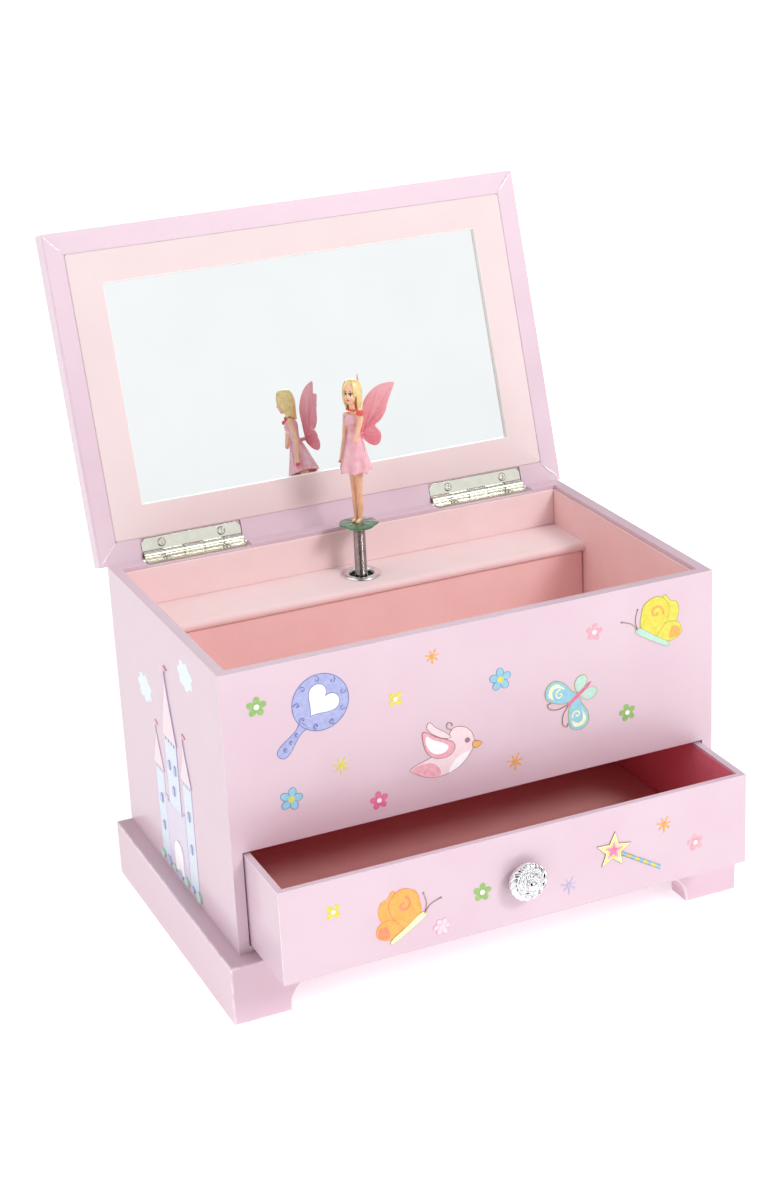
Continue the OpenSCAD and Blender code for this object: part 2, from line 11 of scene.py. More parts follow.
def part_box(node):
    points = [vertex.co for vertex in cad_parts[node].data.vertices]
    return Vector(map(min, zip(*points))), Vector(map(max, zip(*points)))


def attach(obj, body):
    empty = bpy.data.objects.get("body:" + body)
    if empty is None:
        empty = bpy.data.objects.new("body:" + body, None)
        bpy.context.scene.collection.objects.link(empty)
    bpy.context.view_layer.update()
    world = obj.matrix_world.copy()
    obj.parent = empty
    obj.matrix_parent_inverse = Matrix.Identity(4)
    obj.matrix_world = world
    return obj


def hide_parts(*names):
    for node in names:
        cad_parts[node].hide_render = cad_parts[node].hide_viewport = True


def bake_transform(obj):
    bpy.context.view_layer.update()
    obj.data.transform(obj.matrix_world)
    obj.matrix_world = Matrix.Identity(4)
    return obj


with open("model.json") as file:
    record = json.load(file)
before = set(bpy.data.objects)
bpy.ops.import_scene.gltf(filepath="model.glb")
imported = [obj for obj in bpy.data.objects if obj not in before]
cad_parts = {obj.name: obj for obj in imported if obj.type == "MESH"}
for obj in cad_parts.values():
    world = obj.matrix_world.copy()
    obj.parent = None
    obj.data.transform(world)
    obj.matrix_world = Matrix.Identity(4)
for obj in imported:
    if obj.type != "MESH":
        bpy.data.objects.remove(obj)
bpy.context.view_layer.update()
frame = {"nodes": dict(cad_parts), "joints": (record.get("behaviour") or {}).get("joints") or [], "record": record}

MM = 0.001
TAU = 2 * math.pi

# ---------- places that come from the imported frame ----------

JOINTS = {joint["name"]: joint for joint in frame["joints"]}
HINGE = Vector(JOINTS["lid_hinge"]["pos_m"])
OPEN_ANGLE = math.radians(JOINTS["lid_hinge"]["range_deg"][1])
SPRING_BEND = Vector(JOINTS["figure_fold"]["pos_m"])
LID_OPEN = Matrix.Translation(HINGE) @ Matrix.Rotation(-OPEN_ANGLE, 4, "X") @ Matrix.Translation(-HINGE)
LID_CLOSED = LID_OPEN.inverted()

FIGURE_YAW = math.radians(-68)
ON_FIGURE = Matrix.Translation((0, SPRING_BEND.y, 0)) @ Matrix.Rotation(FIGURE_YAW, 4, "Z")


# ---------- mesh helpers ----------

def mesh_from(verts, faces, name="made", groups=None):
    """A mesh from millimetre points and faces; groups gives each face's material index."""
    mesh = bpy.data.meshes.new(name)
    mesh.from_pydata([Vector(v) * MM for v in verts], [], faces)
    if groups:
        mesh.polygons.foreach_set("material_index", groups)
    bm = bmesh.new()
    bm.from_mesh(mesh)
    bmesh.ops.recalc_face_normals(bm, faces=bm.faces)
    bm.to_mesh(mesh)
    bm.free()
    return mesh


def add_piece(name, mesh, body, finishes, replaces=(), sharp=None):
    """A new piece that rides on a body. sharp is the angle in degrees above which edges stay crisp."""
    obj = bpy.data.objects.new(name, mesh)
    bpy.context.scene.collection.objects.link(obj)
    for finish in finishes:
        mesh.materials.append(MATERIALS[finish])
    mesh.polygons.foreach_set("use_smooth", [True] * len(mesh.polygons))
    if sharp is not None:
        mesh.set_sharp_from_angle(angle=math.radians(sharp))
    if body:
        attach(obj, body)
    if replaces:
        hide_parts(*replaces)
    return obj


def applied(obj):
    """The object's mesh with its modifiers applied, as a new mesh; the object is removed."""
    depsgraph = bpy.context.evaluated_depsgraph_get()
    mesh = bpy.data.meshes.new_from_object(obj.evaluated_get(depsgraph))
    bpy.data.objects.remove(obj)
    return mesh


def loose_object(mesh):
    """A working object that is removed again once its modifiers are applied."""
    obj = bpy.data.objects.new("work", mesh)
    bpy.context.scene.collection.objects.link(obj)
    return obj


def clean(mesh, angle=0.5):
    """Joins the doubled points and flat neighbouring faces that the import left."""
    bm = bmesh.new()
    bm.from_mesh(mesh)
    bmesh.ops.remove_doubles(bm, verts=bm.verts, dist=0.002 * MM)
    bmesh.ops.dissolve_limit(bm, angle_limit=math.radians(angle), verts=bm.verts, edges=bm.edges)
    bmesh.ops.recalc_face_normals(bm, faces=bm.faces)
    bm.to_mesh(mesh)
    bm.free()
    mesh.materials.clear()
    for layer in ("custom_normal", "sharp_face", "sharp_edge"):
        if layer in mesh.attributes:
            mesh.attributes.remove(mesh.attributes[layer])
    return mesh


def combined(meshes, operation):
    """The first closed mesh with the others joined on (UNION) or cut away (DIFFERENCE)."""
    first, *others = [loose_object(mesh) for mesh in meshes]
    for other in others:
        step = first.modifiers.new("step", "BOOLEAN")
        step.operation = operation
        step.solver = "EXACT"
        step.object = other
    mesh = applied(first)
    for other in others:
        bpy.data.objects.remove(other)
    return mesh


def break_arrises(obj, radius, segments, angle, material=-1):
    """Rounds the edges that turn by more than angle degrees; material is the rounded strips' slot."""
    bevel = obj.modifiers.new("arris", "BEVEL")
    bevel.width = radius * MM
    bevel.segments = segments
    bevel.limit_method = "ANGLE"
    bevel.angle_limit = math.radians(angle)
    bevel.material = material
    bevel.harden_normals = True


def wrapped(name, nodes, body, finishes, radius):
    """Boards joined under one paper wrap: rounded arrises, which take the last finish."""
    mesh = clean(combined([clean(frame["nodes"][node].data.copy()) for node in nodes], "UNION"))
    obj = add_piece(name, mesh, body, finishes, nodes)
    break_arrises(obj, radius, 3, 40, len(finishes) - 1)


def axis_steps(low, high, radius, cell):
    """Grid lines across a rounded box, closer together over its rounded edges."""
    edge = [0, 0.12, 0.3, 0.55, 1]
    inner = max(1, round((high - low - 2 * radius) / cell))
    left = [low + radius * t for t in edge]
    middle = [low + radius + (high - low - 2 * radius) * i / inner for i in range(1, inner)]
    right = [high - radius * t for t in reversed(edge)]
    return left + middle + right


def rounded_grid(low, high, radius, cell, bump=0.0, size=9.0):
    """A box in millimetres with rounded edges and a soft uneven surface."""
    steps = [axis_steps(low[i], high[i], radius, cell) for i in range(3)]
    found, verts, faces = {}, [], []

    def point(index):
        if index not in found:
            raw = Vector(steps[i][index[i]] for i in range(3))
            core = Vector(min(max(raw[i], low[i] + radius), high[i] - radius) for i in range(3))
            out = (raw - core).normalized() if (raw - core).length else Vector((0, 0, 0))
            place = core + out * radius
            place += out * bump * noise.noise(place / size)
            found[index] = len(verts)
            verts.append(place)
        return found[index]

    counts = [len(s) - 1 for s in steps]
    for axis in range(3):
        a, b = (axis + 1) % 3, (axis + 2) % 3
        for end in (0, counts[axis]):
            for i in range(counts[a]):
                for j in range(counts[b]):
                    corners = []
                    for da, db in ((0, 0), (1, 0), (1, 1), (0, 1)):
                        index = [0, 0, 0]
                        index[axis] = end
                        index[a] = i + da
                        index[b] = j + db
                        corners.append(point(tuple(index)))
                    faces.append(corners)
    return mesh_from(verts, faces)


def lathe(profile, sides=64, shape=None):
    """A closed turned solid about Z from (radius, height) pairs; shape may move each point."""
    verts, faces, rings = [], [], []
    for k, (radius, height) in enumerate(profile):
        if radius < 1e-6:
            rings.append([len(verts)])
            verts.append(Vector((0, 0, height)))
            continue
        rings.append(list(range(len(verts), len(verts) + sides)))
        for i in range(sides):
            angle = TAU * i / sides
            place = Vector((radius * math.cos(angle), radius * math.sin(angle), height))
            verts.append(shape(place, angle, radius, k) if shape else place)
    pairs = list(zip(rings, rings[1:]))
    if len(rings[0]) > 1 and len(rings[-1]) > 1:
        pairs.append((rings[-1], rings[0]))
    for lower, upper in pairs:
        for i in range(sides):
            j = (i + 1) % sides
            if len(lower) == 1:
                faces.append([lower[0], upper[j], upper[i]])
            elif len(upper) == 1:
                faces.append([lower[i], lower[j], upper[0]])
            else:
                faces.append([lower[i], lower[j], upper[j], upper[i]])
    return verts, faces


def sweep(path, radii, sides=12):
    """A closed tube along a path of points; radii has a number for each point."""
    verts, faces, rings = [], [], []
    side = None
    for i, centre in enumerate(path):
        ahead = Vector(path[min(i + 1, len(path) - 1)]) - Vector(path[max(i - 1, 0)])
        ahead.normalize()
        if side is None:
            side = ahead.orthogonal().normalized()
        side = (side - ahead * side.dot(ahead)).normalized()
        up = ahead.cross(side)
        rings.append(len(verts))
        for k in range(sides):
            angle = TAU * k / sides
            out = side * math.cos(angle) + up * math.sin(angle)
            verts.append(Vector(centre) + out * radii[i])
    for a, b in zip(rings, rings[1:]):
        for k in range(sides):
            n = (k + 1) % sides
            faces.append([a + k, a + n, b + n, b + k])
    faces.append([rings[0] + k for k in reversed(range(sides))])
    faces.append([rings[-1] + k for k in range(sides)])
    return verts, faces


def capsule(start, end, r0, r1, steps=6, sides=16):
    """A tapering limb with round ends."""
    start, end = Vector(start), Vector(end)
    along = (end - start).normalized()
    path, radii = [], []
    for i in range(steps + 1):
        t = math.pi / 2 * i / steps
        path.append(start - along * r0 * math.cos(t))
        radii.append(max(0.02, r0 * math.sin(t)))
    for i in range(steps + 1):
        t = math.pi / 2 * i / steps
        path.append(end + along * r1 * math.sin(t))
        radii.append(max(0.02, r1 * math.cos(t)))
    return sweep(path, radii, sides)


def ellipsoid(centre, sizes, sides=24, rings=14):
    """A closed ball stretched to these three radii."""
    profile = [(math.sin(math.pi * k / rings), -math.cos(math.pi * k / rings)) for k in range(rings + 1)]
    profile[0], profile[-1] = (0, -1), (0, 1)
    verts, faces = lathe(profile, sides)
    return [Vector(centre) + Vector(v[i] * sizes[i] for i in range(3)) for v in verts], faces


def joined(parts):
    """Several (points, faces) pairs as one pair."""
    verts, faces = [], []
    for part_verts, part_faces in parts:
        start = len(verts)
        verts += part_verts
        faces += [[start + i for i in face] for face in part_faces]
    return verts, faces


def melted(parts, voxel, smooth=4):
    """Overlapping closed solids melted into one smooth skin."""
    obj = loose_object(mesh_from(*joined(parts)))
    remesh = obj.modifiers.new("melt", "REMESH")
    remesh.mode = "VOXEL"
    remesh.voxel_size = voxel * MM
    relax = obj.modifiers.new("relax", "SMOOTH")
    relax.factor = 0.5
    relax.iterations = smooth
    return applied(obj)


def spline(points, per=6, closed=True):
    """A smooth Catmull-Rom line through the points."""
    made = []
    count = len(points)
    spans = count if closed else count - 1
    for i in range(spans):
        if closed:
            p = [Vector(points[(i + k) % count]) for k in (-1, 0, 1, 2)]
        else:
            p = [Vector(points[min(max(i + k, 0), count - 1)]) for k in (-1, 0, 1, 2)]
        for step in range(per):
            t = step / per
            made.append(0.5 * (
                2 * p[1] + (p[2] - p[0]) * t + (2 * p[0] - 5 * p[1] + 4 * p[2] - p[3]) * t * t
                + (3 * p[1] - p[0] - 3 * p[2] + p[3]) * t ** 3))
    if not closed:
        made.append(Vector(points[-1]))
    return made


def box_mm(node):
    """A CAD node's lowest and highest corners, in millimetres."""
    low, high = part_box(node)
    return low / MM, high / MM


def at_post(verts, faces):
    """A solid made round Z, moved onto the sprung post's axis."""
    return [v + Vector((0, SPRING_BEND.y / MM, 0)) for v in verts], faces


def prism_faces(count, start=0):
    """Faces of a flat solid: count points round its top, then the same round its bottom."""
    faces = [[start + i for i in range(count)], [start + count + i for i in reversed(range(count))]]
    for i in range(count):
        j = (i + 1) % count
        faces.append([start + i, start + j, start + count + j, start + count + i])
    return faces


def ring_solid(loops, groups):
    """A closed band of loops with the same number of points; groups gives each strip's material."""
    n = len(loops[0])
    verts = [v for loop in loops for v in loop]
    faces, kinds = [], []
    for k in range(len(loops)):
        following = (k + 1) % len(loops)
        for i in range(n):
            j = (i + 1) % n
            faces.append([k * n + i, k * n + j, following * n + j, following * n + i])
            kinds.append(groups[k])
    return verts, faces, kinds


# ---------- materials ----------

def linear(colour):
    """A display colour, as red, green and blue out of 255, as the linear colour that nodes use."""
    shares = [value / 255 for value in colour]
    return (*[v / 12.92 if v <= 0.04045 else ((v + 0.055) / 1.055) ** 2.4 for v in shares], 1)


SPAN_SOCKETS = ("From Min", "From Max", "To Min", "To Max")


class Finish:
    """A material under construction: its shader's fixed numbers, and patterns in object space."""

    def __init__(self, name, **fixed):
        self.made = bpy.data.materials.new(name)
        self.made.use_nodes = True
        self.nodes = self.made.node_tree.nodes
        self.link = self.made.node_tree.links.new
        self.shader = self.nodes["Principled BSDF"]
        for socket, value in fixed.items():
            self.shader.inputs[socket.replace("_", " ")].default_value = value
        self.place = self.nodes.new("ShaderNodeTexCoord").outputs["Object"]
        self.relief = None

    def stretched(self, scale, turn=(0, 0, 0)):
        """Object coordinates stretched by scale, for grain that runs one way."""
        mapping = self.nodes.new("ShaderNodeMapping")
        mapping.inputs["Scale"].default_value = scale
        mapping.inputs["Rotation"].default_value = turn
        self.link(self.place, mapping.inputs["Vector"])
        return mapping.outputs["Vector"]

    def cloud(self, size, detail=3, rough=0.5, place=None):
        """Noise whose patches are about size millimetres across."""
        node = self.nodes.new("ShaderNodeTexNoise")
        node.inputs["Scale"].default_value = 1 / (size * MM)
        node.inputs["Detail"].default_value = detail
        node.inputs["Roughness"].default_value = rough
        self.link(place or self.place, node.inputs["Vector"])
        return node.outputs["Fac"]

    def span(self, value, low, high, to_low=0.0, to_high=1.0):
        """value from low..high spread over to_low..to_high."""
        node = self.nodes.new("ShaderNodeMapRange")
        for socket, number in zip(SPAN_SOCKETS, (low, high, to_low, to_high)):
            node.inputs[socket].default_value = number
        self.link(value, node.inputs["Value"])
        return node.outputs["Result"]

    def mix(self, share, first, second):
        """The first colour where share is 0, the second where it is 1; either may be a pattern."""
        node = self.nodes.new("ShaderNodeMix")
        node.data_type = "RGBA"
        self.link(share, node.inputs["Factor"])
        for socket, colour in (("A", first), ("B", second)):
            target = [i for i in node.inputs if i.name == socket and i.type == "RGBA"][0]
            if isinstance(colour, tuple):
                target.default_value = linear(colour)
            else:
                self.link(colour, target)
        return [o for o in node.outputs if o.type == "RGBA"][0]

    def height(self, axis="Z"):
        """One object coordinate in metres."""
        node = self.nodes.new("ShaderNodeSeparateXYZ")
        self.link(self.place, node.inputs["Vector"])
        return node.outputs[axis]

    def bump(self, value, depth, strength=1.0):
        """Adds relief of depth millimetres."""
        node = self.nodes.new("ShaderNodeBump")
        node.inputs["Distance"].default_value = depth * MM
        node.inputs["Strength"].default_value = strength
        self.link(value, node.inputs["Height"])
        if self.relief:
            self.link(self.relief, node.inputs["Normal"])
        self.relief = node.outputs["Normal"]

    def done(self, colour=None, roughness=None):
        """Connects the patterns and gives back the material."""
        if colour is not None:
            self.link(colour, self.shader.inputs["Base Color"])
        if roughness is not None:
            self.link(roughness, self.shader.inputs["Roughness"])
        if self.relief:
            self.link(self.relief, self.shader.inputs["Normal"])
        return self.made


def paper(name, base, light, coat=0.35):
    """Glossy printed wrapping paper over board, with faint fibres and slow ripples."""
    f = Finish(name, Coat_Weight=coat, Coat_Roughness=0.12, Specular_IOR_Level=0.45)
    fibre = f.cloud(0.5, 4, 0.6, f.stretched((1, 0.35, 1.6), (0.3, 0.2, 0.5)))
    slow = f.cloud(26, 2)
    tone = f.mix(f.span(slow, 0.35, 0.65), base, light)
    tint = f.mix(f.span(fibre, 0.62, 0.8, 0, 0.35), tone, (255, 246, 250))
    f.bump(f.cloud(9, 2), 0.05, 0.5)
    f.bump(fibre, 0.012, 0.5)
    return f.done(tint, f.span(slow, 0.3, 0.7, 0.3, 0.4))


def worn_paper_with_painted_highlight(name, base, worn_and_highlight):
    """The same paper where it is folded over an arris: paler, with the print rubbed off in places, and the
    paleness partly a painted highlight along the edge.
    """
    f = Finish(name, Coat_Weight=0.5, Coat_Roughness=0.15)
    rubbed_and_highlit = f.span(f.cloud(4, 5, 0.7), 0.36, 0.56)
    f.bump(f.cloud(1.2, 3), 0.03, 0.6)
    return f.done(f.mix(rubbed_and_highlit, base, worn_and_highlight), f.span(rubbed_and_highlit, 0, 1, 0.28, 0.45))


def flock(name, base, light, dark):
    """Short flocked pile: fine speckle, brushed patches and a soft sheen."""
    f = Finish(name, Sheen_Weight=0.35, Sheen_Roughness=0.5, Specular_IOR_Level=0.15)
    pile = f.cloud(0.35, 4, 0.7)
    brushed = f.cloud(14, 3)
    tone = f.mix(f.span(brushed, 0.35, 0.65), base, light)
    f.bump(pile, 0.06, 0.7)
    return f.done(f.mix(f.span(pile, 0.48, 0.68, 0, 0.45), tone, dark), f.span(pile, 0.2, 0.8, 0.85, 1))


def card(name, base, light):
    """Smooth covered card with a faint weave."""
    f = Finish(name, Sheen_Weight=0.15, Specular_IOR_Level=0.25)
    weave = f.cloud(0.3, 3, 0.6)
    f.bump(weave, 0.02, 0.5)
    return f.done(f.mix(f.span(f.cloud(40, 2), 0.35, 0.65), base, light), f.span(weave, 0.3, 0.7, 0.6, 0.75))


def metal(name, base, dark, rough=(0.12, 0.24), grain=(1, 1, 1)):
    """Plated metal with fine polishing lines and faint clouding."""
    f = Finish(name, Metallic=1.0)
    lines = f.cloud(0.5, 4, 0.6, f.stretched(grain))
    haze = f.cloud(4, 3)
    f.bump(lines, 0.004, 0.4)
    return f.done(f.mix(f.span(haze, 0.3, 0.7), base, dark), f.span(lines, 0.3, 0.7, *rough))


def plastic(name, base, deep, rough=(0.28, 0.42), coat=0.2, size=2.5):
    """Hand-painted moulded plastic with slightly uneven colour."""
    f = Finish(name, Coat_Weight=coat, Coat_Roughness=0.2)
    shade = f.cloud(size, 3)
    f.bump(f.cloud(0.8, 3), 0.02, 0.5)
    return f.done(f.mix(f.span(shade, 0.35, 0.7), base, deep), f.span(shade, 0.2, 0.8, *rough))


def ink(name, base, light):
    """Printed ink under the paper's varnish, with the soft mottling of a print."""
    f = Finish(name, Coat_Weight=0.35, Coat_Roughness=0.12, Specular_IOR_Level=0.45)
    mottle = f.cloud(1.6, 4, 0.65)
    return f.done(f.mix(f.span(mottle, 0.35, 0.68), base, light), f.span(mottle, 0.3, 0.7, 0.3, 0.4))


def mirror_glass():
    """Silvered glass with the faintest smears."""
    f = Finish("mirror_glass", Metallic=1.0)
    smear = f.cloud(30, 3)
    return f.done(f.mix(smear, (238, 242, 243), (246, 249, 249)), f.span(smear, 0.3, 0.7, 0.0, 0.02))


def wing_plastic():
    """Wing colour: paler at the tip, deeper near the body."""
    f = Finish("wing_plastic", Coat_Weight=0.2, Coat_Roughness=0.25)
    rise = f.span(f.height("Z"), 0.163, 0.187)
    tone = f.mix(rise, (232, 128, 144), (240, 170, 182))
    f.bump(f.cloud(1, 3), 0.02, 0.5)
    patches = f.span(f.cloud(3), 0.4, 0.7, 0, 0.4)
    return f.done(f.mix(patches, tone, (243, 182, 190)), f.span(f.cloud(2), 0.3, 0.7, 0.3, 0.45))


MATERIALS = {
    "wrap": paper("wrap_paper", (219, 192, 205), (222, 197, 209)),
    # The arris papers are paler: partly print rubbed off, partly a painted highlight along the edges.
    "wrap_edge": worn_paper_with_painted_highlight("wrap_edge", (234, 209, 221), (253, 246, 249)),
    # The base's paper, a little deeper than the body's: partly its own tone, partly painted shade for the base top
    # beside the body.
    "base_wrap_with_painted_shade": paper("base_wrap_with_painted_shade", (219, 188, 202), (222, 193, 206)),
    "base_edge": worn_paper_with_painted_highlight("base_edge", (228, 199, 212), (244, 226, 235)),
    "lid_wrap": paper("lid_wrap", (222, 195, 209), (226, 201, 214)),
    "flock": flock("flock_rose", (248, 206, 204), (250, 211, 209), (238, 188, 186)),
    "flock_pale": flock("flock_pale", (246, 219, 220), (248, 223, 224), (238, 204, 206)),
    # A deeper, more saturated copy of the rose flock: its colour is painted shade for the dim space of the drawer
    # and the divider over it.
    "flock_painted_shade": flock("flock_painted_shade", (240, 110, 134), (243, 120, 142), (220, 90, 114)),
    "drawer_floor": flock("drawer_floor", (238, 174, 171), (241, 181, 177), (224, 154, 151)),
    "mat": card("mat_card", (234, 214, 215), (238, 219, 220)),
    "mirror": mirror_glass(),
    "nickel": metal("nickel", (214, 214, 203), (206, 206, 194), (0.2, 0.26), (0.15, 2, 2)),
    "chrome": metal("chrome", (236, 236, 238), (222, 223, 226), (0.03, 0.07)),
    "blackened": metal("blackened_steel", (40, 38, 38), (60, 56, 54), (0.3, 0.5)),
    "steel": metal("spring_steel", (198, 193, 190), (170, 164, 160), (0.08, 0.16)),
    "brass": metal("movement_brass", (214, 178, 104), (190, 150, 80), (0.22, 0.36)),
    "leaf": plastic("leaf_plastic", (30, 92, 52), (60, 132, 82), (0.06, 0.14), 1.0, 3),
    "skin": plastic("skin_plastic", (247, 204, 168), (240, 186, 150), (0.26, 0.38), 0.35),
    "dress": plastic("dress_plastic", (240, 172, 186), (245, 196, 205), (0.1, 0.2), 1.0),
    "hair": plastic("hair_plastic", (246, 224, 164), (234, 200, 124), (0.26, 0.38), 0.3, 1.5),
    "wing": wing_plastic(),
    "flower": plastic("flower_plastic", (228, 74, 78), (240, 110, 104), (0.25, 0.4), 0.3, 1),
    "card_core": paper("card_core", (250, 246, 244), (254, 252, 250), 0.0),
    "dark_paint": plastic("dark_paint", (26, 16, 18), (40, 26, 26), (0.2, 0.3), 0.4),
    "brow_paint": plastic("brow_paint", (120, 84, 52), (140, 100, 66), (0.4, 0.5)),
    "white_paint": plastic("white_paint", (250, 246, 242), (240, 234, 230), (0.2, 0.3), 0.4),
    "lip_paint": plastic("lip_paint", (206, 58, 66), (220, 80, 84), (0.2, 0.3), 0.4),
}
INK_SHADES = {
    "white": ((250, 246, 250), (255, 252, 254)),
    "green": ((136, 178, 92), (156, 194, 116)),
    "yellow": ((222, 208, 50), (234, 222, 92)),
    "cream": ((246, 238, 184), (250, 246, 210)),
    "blue": ((134, 196, 218), (158, 210, 228)),
    "violet": ((158, 164, 216), (180, 186, 228)),
    "slate": ((110, 116, 172), (128, 134, 186)),
    "rose": ((232, 158, 174), (240, 186, 198)),
    "magenta": ((224, 104, 152), (234, 134, 172)),
    "orange": ((234, 164, 66), (240, 182, 92)),
    "peach": ((232, 130, 84), (238, 154, 112)),
    "brown": ((150, 108, 96), (168, 126, 112)),
    "mist": ((214, 224, 240), (226, 234, 245)),
    "pale": ((222, 236, 244), (232, 243, 248)),
    "mint": ((176, 218, 204), (194, 228, 214)),
    "olive": ((168, 164, 84), (184, 180, 104)),
    "blush": ((242, 214, 222), (246, 224, 230)),
    "shell": ((236, 208, 222), (240, 214, 227)),
    "faint": ((216, 206, 230), (226, 216, 234)),
    "haze": ((182, 190, 222), (196, 204, 230)),
    "lilac": ((186, 176, 212), (200, 190, 222)),
}
MATERIALS.update({"ink_" + name: ink("ink_" + name, *shades) for name, shades in INK_SHADES.items()})


# ---------- boards ----------

def boards():
    """Body, base, lid and drawer, each a paper-wrapped box of boards."""
    wrap = ["wrap", "wrap_edge"]
    base = ["base_wrap_with_painted_shade", "base_edge"]
    walls = ["body_left", "body_right", "body_front", "body_back"]
    drawer = ["drawer_front", "drawer_back", "drawer_left", "drawer_right", "drawer_bottom"]
    wrapped("base_plinth", ["base_frame"], "box", base, 0.7)
    wrapped("body_walls", walls, "box", wrap, 0.55)
    wrapped("body_floor", ["bottom_board"], "box", base, 0.3)
    # The divider roofs the drawer; its deep flock is painted shade.
    wrapped("body_divider", ["divider_board"], "box", ["flock_painted_shade"], 0.3)
    wrapped("lid_board", ["lid_frame", "lid_panel"], "lid", ["lid_wrap", "wrap_edge"], 0.7)
    wrapped("drawer_shell", drawer, "drawer", wrap, 0.55)


def linings():
    """Flocked panels with soft rounded edges, slightly uneven like board covered by hand."""
    panels = [("lining_floor", "flock", "box", "flock"), ("lining_left", "flock", "box", "flock"),
              ("lining_right", "flock", "box", "flock"), ("lining_front", "flock", "box", "flock"),
              ("lining_back", "flock_pale", "box", "flock_pale"), ("ledge_front", "flock", "box", "flock"),
              ("drawer_lining", "drawer_floor", "drawer", "flock")]
    for node, finish, body, slot in panels:
        low, high = box_mm(node)
        mesh = rounded_grid(low, high, min(high - low) * 0.42, 5, 0.12)
        add_piece(node + "_pile", mesh, body, [finish], [node])


def drawer_pockets():
    """Thin flocked facing on the inside of the drawer's four walls, in a deep rose that is painted shade."""
    low, high = box_mm("drawer_lining")
    top = box_mm("drawer_left")[1].z - 0.9
    foot = high.z - 0.1
    thick = 0.35
    places = {
        "left": ((low.x, low.y, foot), (low.x + thick, high.y, top)),
        "right": ((high.x - thick, low.y, foot), (high.x, high.y, top)),
        "front": ((low.x, low.y, foot), (high.x, low.y + thick, top)),
        "back": ((low.x, high.y - thick, foot), (high.x, high.y, top)),
    }
    for side, (near, far) in places.items():
        mesh = rounded_grid(Vector(near), Vector(far), thick * 0.45, 6, 0.05)
        add_piece("drawer_facing_" + side, mesh, "drawer", ["flock_painted_shade"], ())


def ledge():
    """The covered ledge, rounded over its front edge, with a round hole under the eyelet."""
    low, high = box_mm("ledge_top")
    half = (high.z - low.z) / 2
    arc = [(low.y + half - half * math.sin(t), low.z + half - half * math.cos(t))
           for t in (math.pi * k / 14 for k in range(15))]
    flat = [(low.y + half + (high.y - low.y - half) * k / 6, high.z) for k in range(1, 7)]
    under = [(y, low.z) for y, _ in reversed(flat)]
    outline = arc + flat + under
    stations = 48
    bore = 5.5
    verts, faces = [], []
    for i in range(stations + 1):
        x = low.x + (high.x - low.x) * i / stations
        for y, z in outline:
            wave = 0.14 * noise.noise(Vector((x, y, z)) / 11)
            verts.append(Vector((x, y, z + (wave if z > low.z + half else 0))))
    n = len(outline)
    for i in range(stations):
        for k in range(n):
            m = (k + 1) % n
            faces.append([i * n + k, i * n + m, (i + 1) * n + m, (i + 1) * n + k])
    faces.append(list(range(n)))
    faces.append([stations * n + k for k in reversed(range(n))])
    hole = lathe([(0, low.z - 1), (bore, low.z - 1), (bore, high.z + 1), (0, high.z + 1)], 48)
    mesh = combined([mesh_from(verts, faces), mesh_from(*at_post(*hole))], "DIFFERENCE")
    add_piece("ledge_cover", mesh, "box", ["flock_pale"], ["ledge_top"], 50)


# ---------- lid trim ----------

# How far the glass reaches in behind its card surround, in millimetres
GLASS_REBATE = 3.35


def rounded_rect(half_w, half_d, radius, centre_y, z, corner=6):
    """Points round a rectangle with rounded corners, centred on x = 0."""
    points = []
    for cx, cy, start in ((1, 1, 0), (-1, 1, 1), (-1, -1, 2), (1, -1, 3)):
        for k in range(corner + 1):
            angle = math.pi / 2 * (start + k / corner)
            points.append(Vector((cx * (half_w - radius) + radius * math.cos(angle),
                                  centre_y + cy * (half_d - radius) + radius * math.sin(angle), z)))
    return points


def closed_box(node):
    """A lid node's corners with the lid shut, in millimetres."""
    points = [LID_CLOSED @ v.co / MM for v in frame["nodes"][node].data.vertices]
    return (Vector(min(p[i] for p in points) for i in range(3)),
            Vector(max(p[i] for p in points) for i in range(3)))


def to_open(verts):
    """Points drawn with the lid shut, moved to where the lid stands open."""
    return [LID_OPEN @ (Vector(v) * MM) / MM for v in verts]


def lid_mat():
    """Mirror surround: covered card with rounded outer edges and a bevelled white cut edge."""
    low, high = closed_box("lid_mat")
    centre = (low.y + high.y) / 2
    half_w, half_d = (high.x - low.x) / 2 - 0.06, (high.y - low.y) / 2 - 0.06
    glass_low, glass_high = closed_box("lid_mirror")
    in_w = (glass_high.x - glass_low.x) / 2 - GLASS_REBATE
    in_d = (glass_high.y - glass_low.y) / 2 - GLASS_REBATE
    face, back = low.z, high.z - 0.02
    loops = [
        rounded_rect(half_w, half_d, 0.8, centre, back),
        rounded_rect(half_w, half_d, 0.8, centre, face + 0.5),
        rounded_rect(half_w - 0.2, half_d - 0.2, 0.75, centre, face + 0.15),
        rounded_rect(half_w - 0.7, half_d - 0.7, 0.6, centre, face),
        rounded_rect(in_w + 0.45, in_d + 0.45, 0.3, centre, face),
        rounded_rect(in_w + 0.3, in_d + 0.3, 0.25, centre, face + 0.08),
        rounded_rect(in_w, in_d, 0.2, centre, back - 0.3),
        rounded_rect(in_w, in_d, 0.2, centre, back),
    ]
    verts, faces, kinds = ring_solid(loops, [0, 0, 0, 0, 1, 1, 1, 0])
    mesh = mesh_from(to_open(verts), faces, "lid_mat", kinds)
    add_piece("lid_mat_card", mesh, "lid", ["mat", "card_core"], ["lid_mat"], 25)


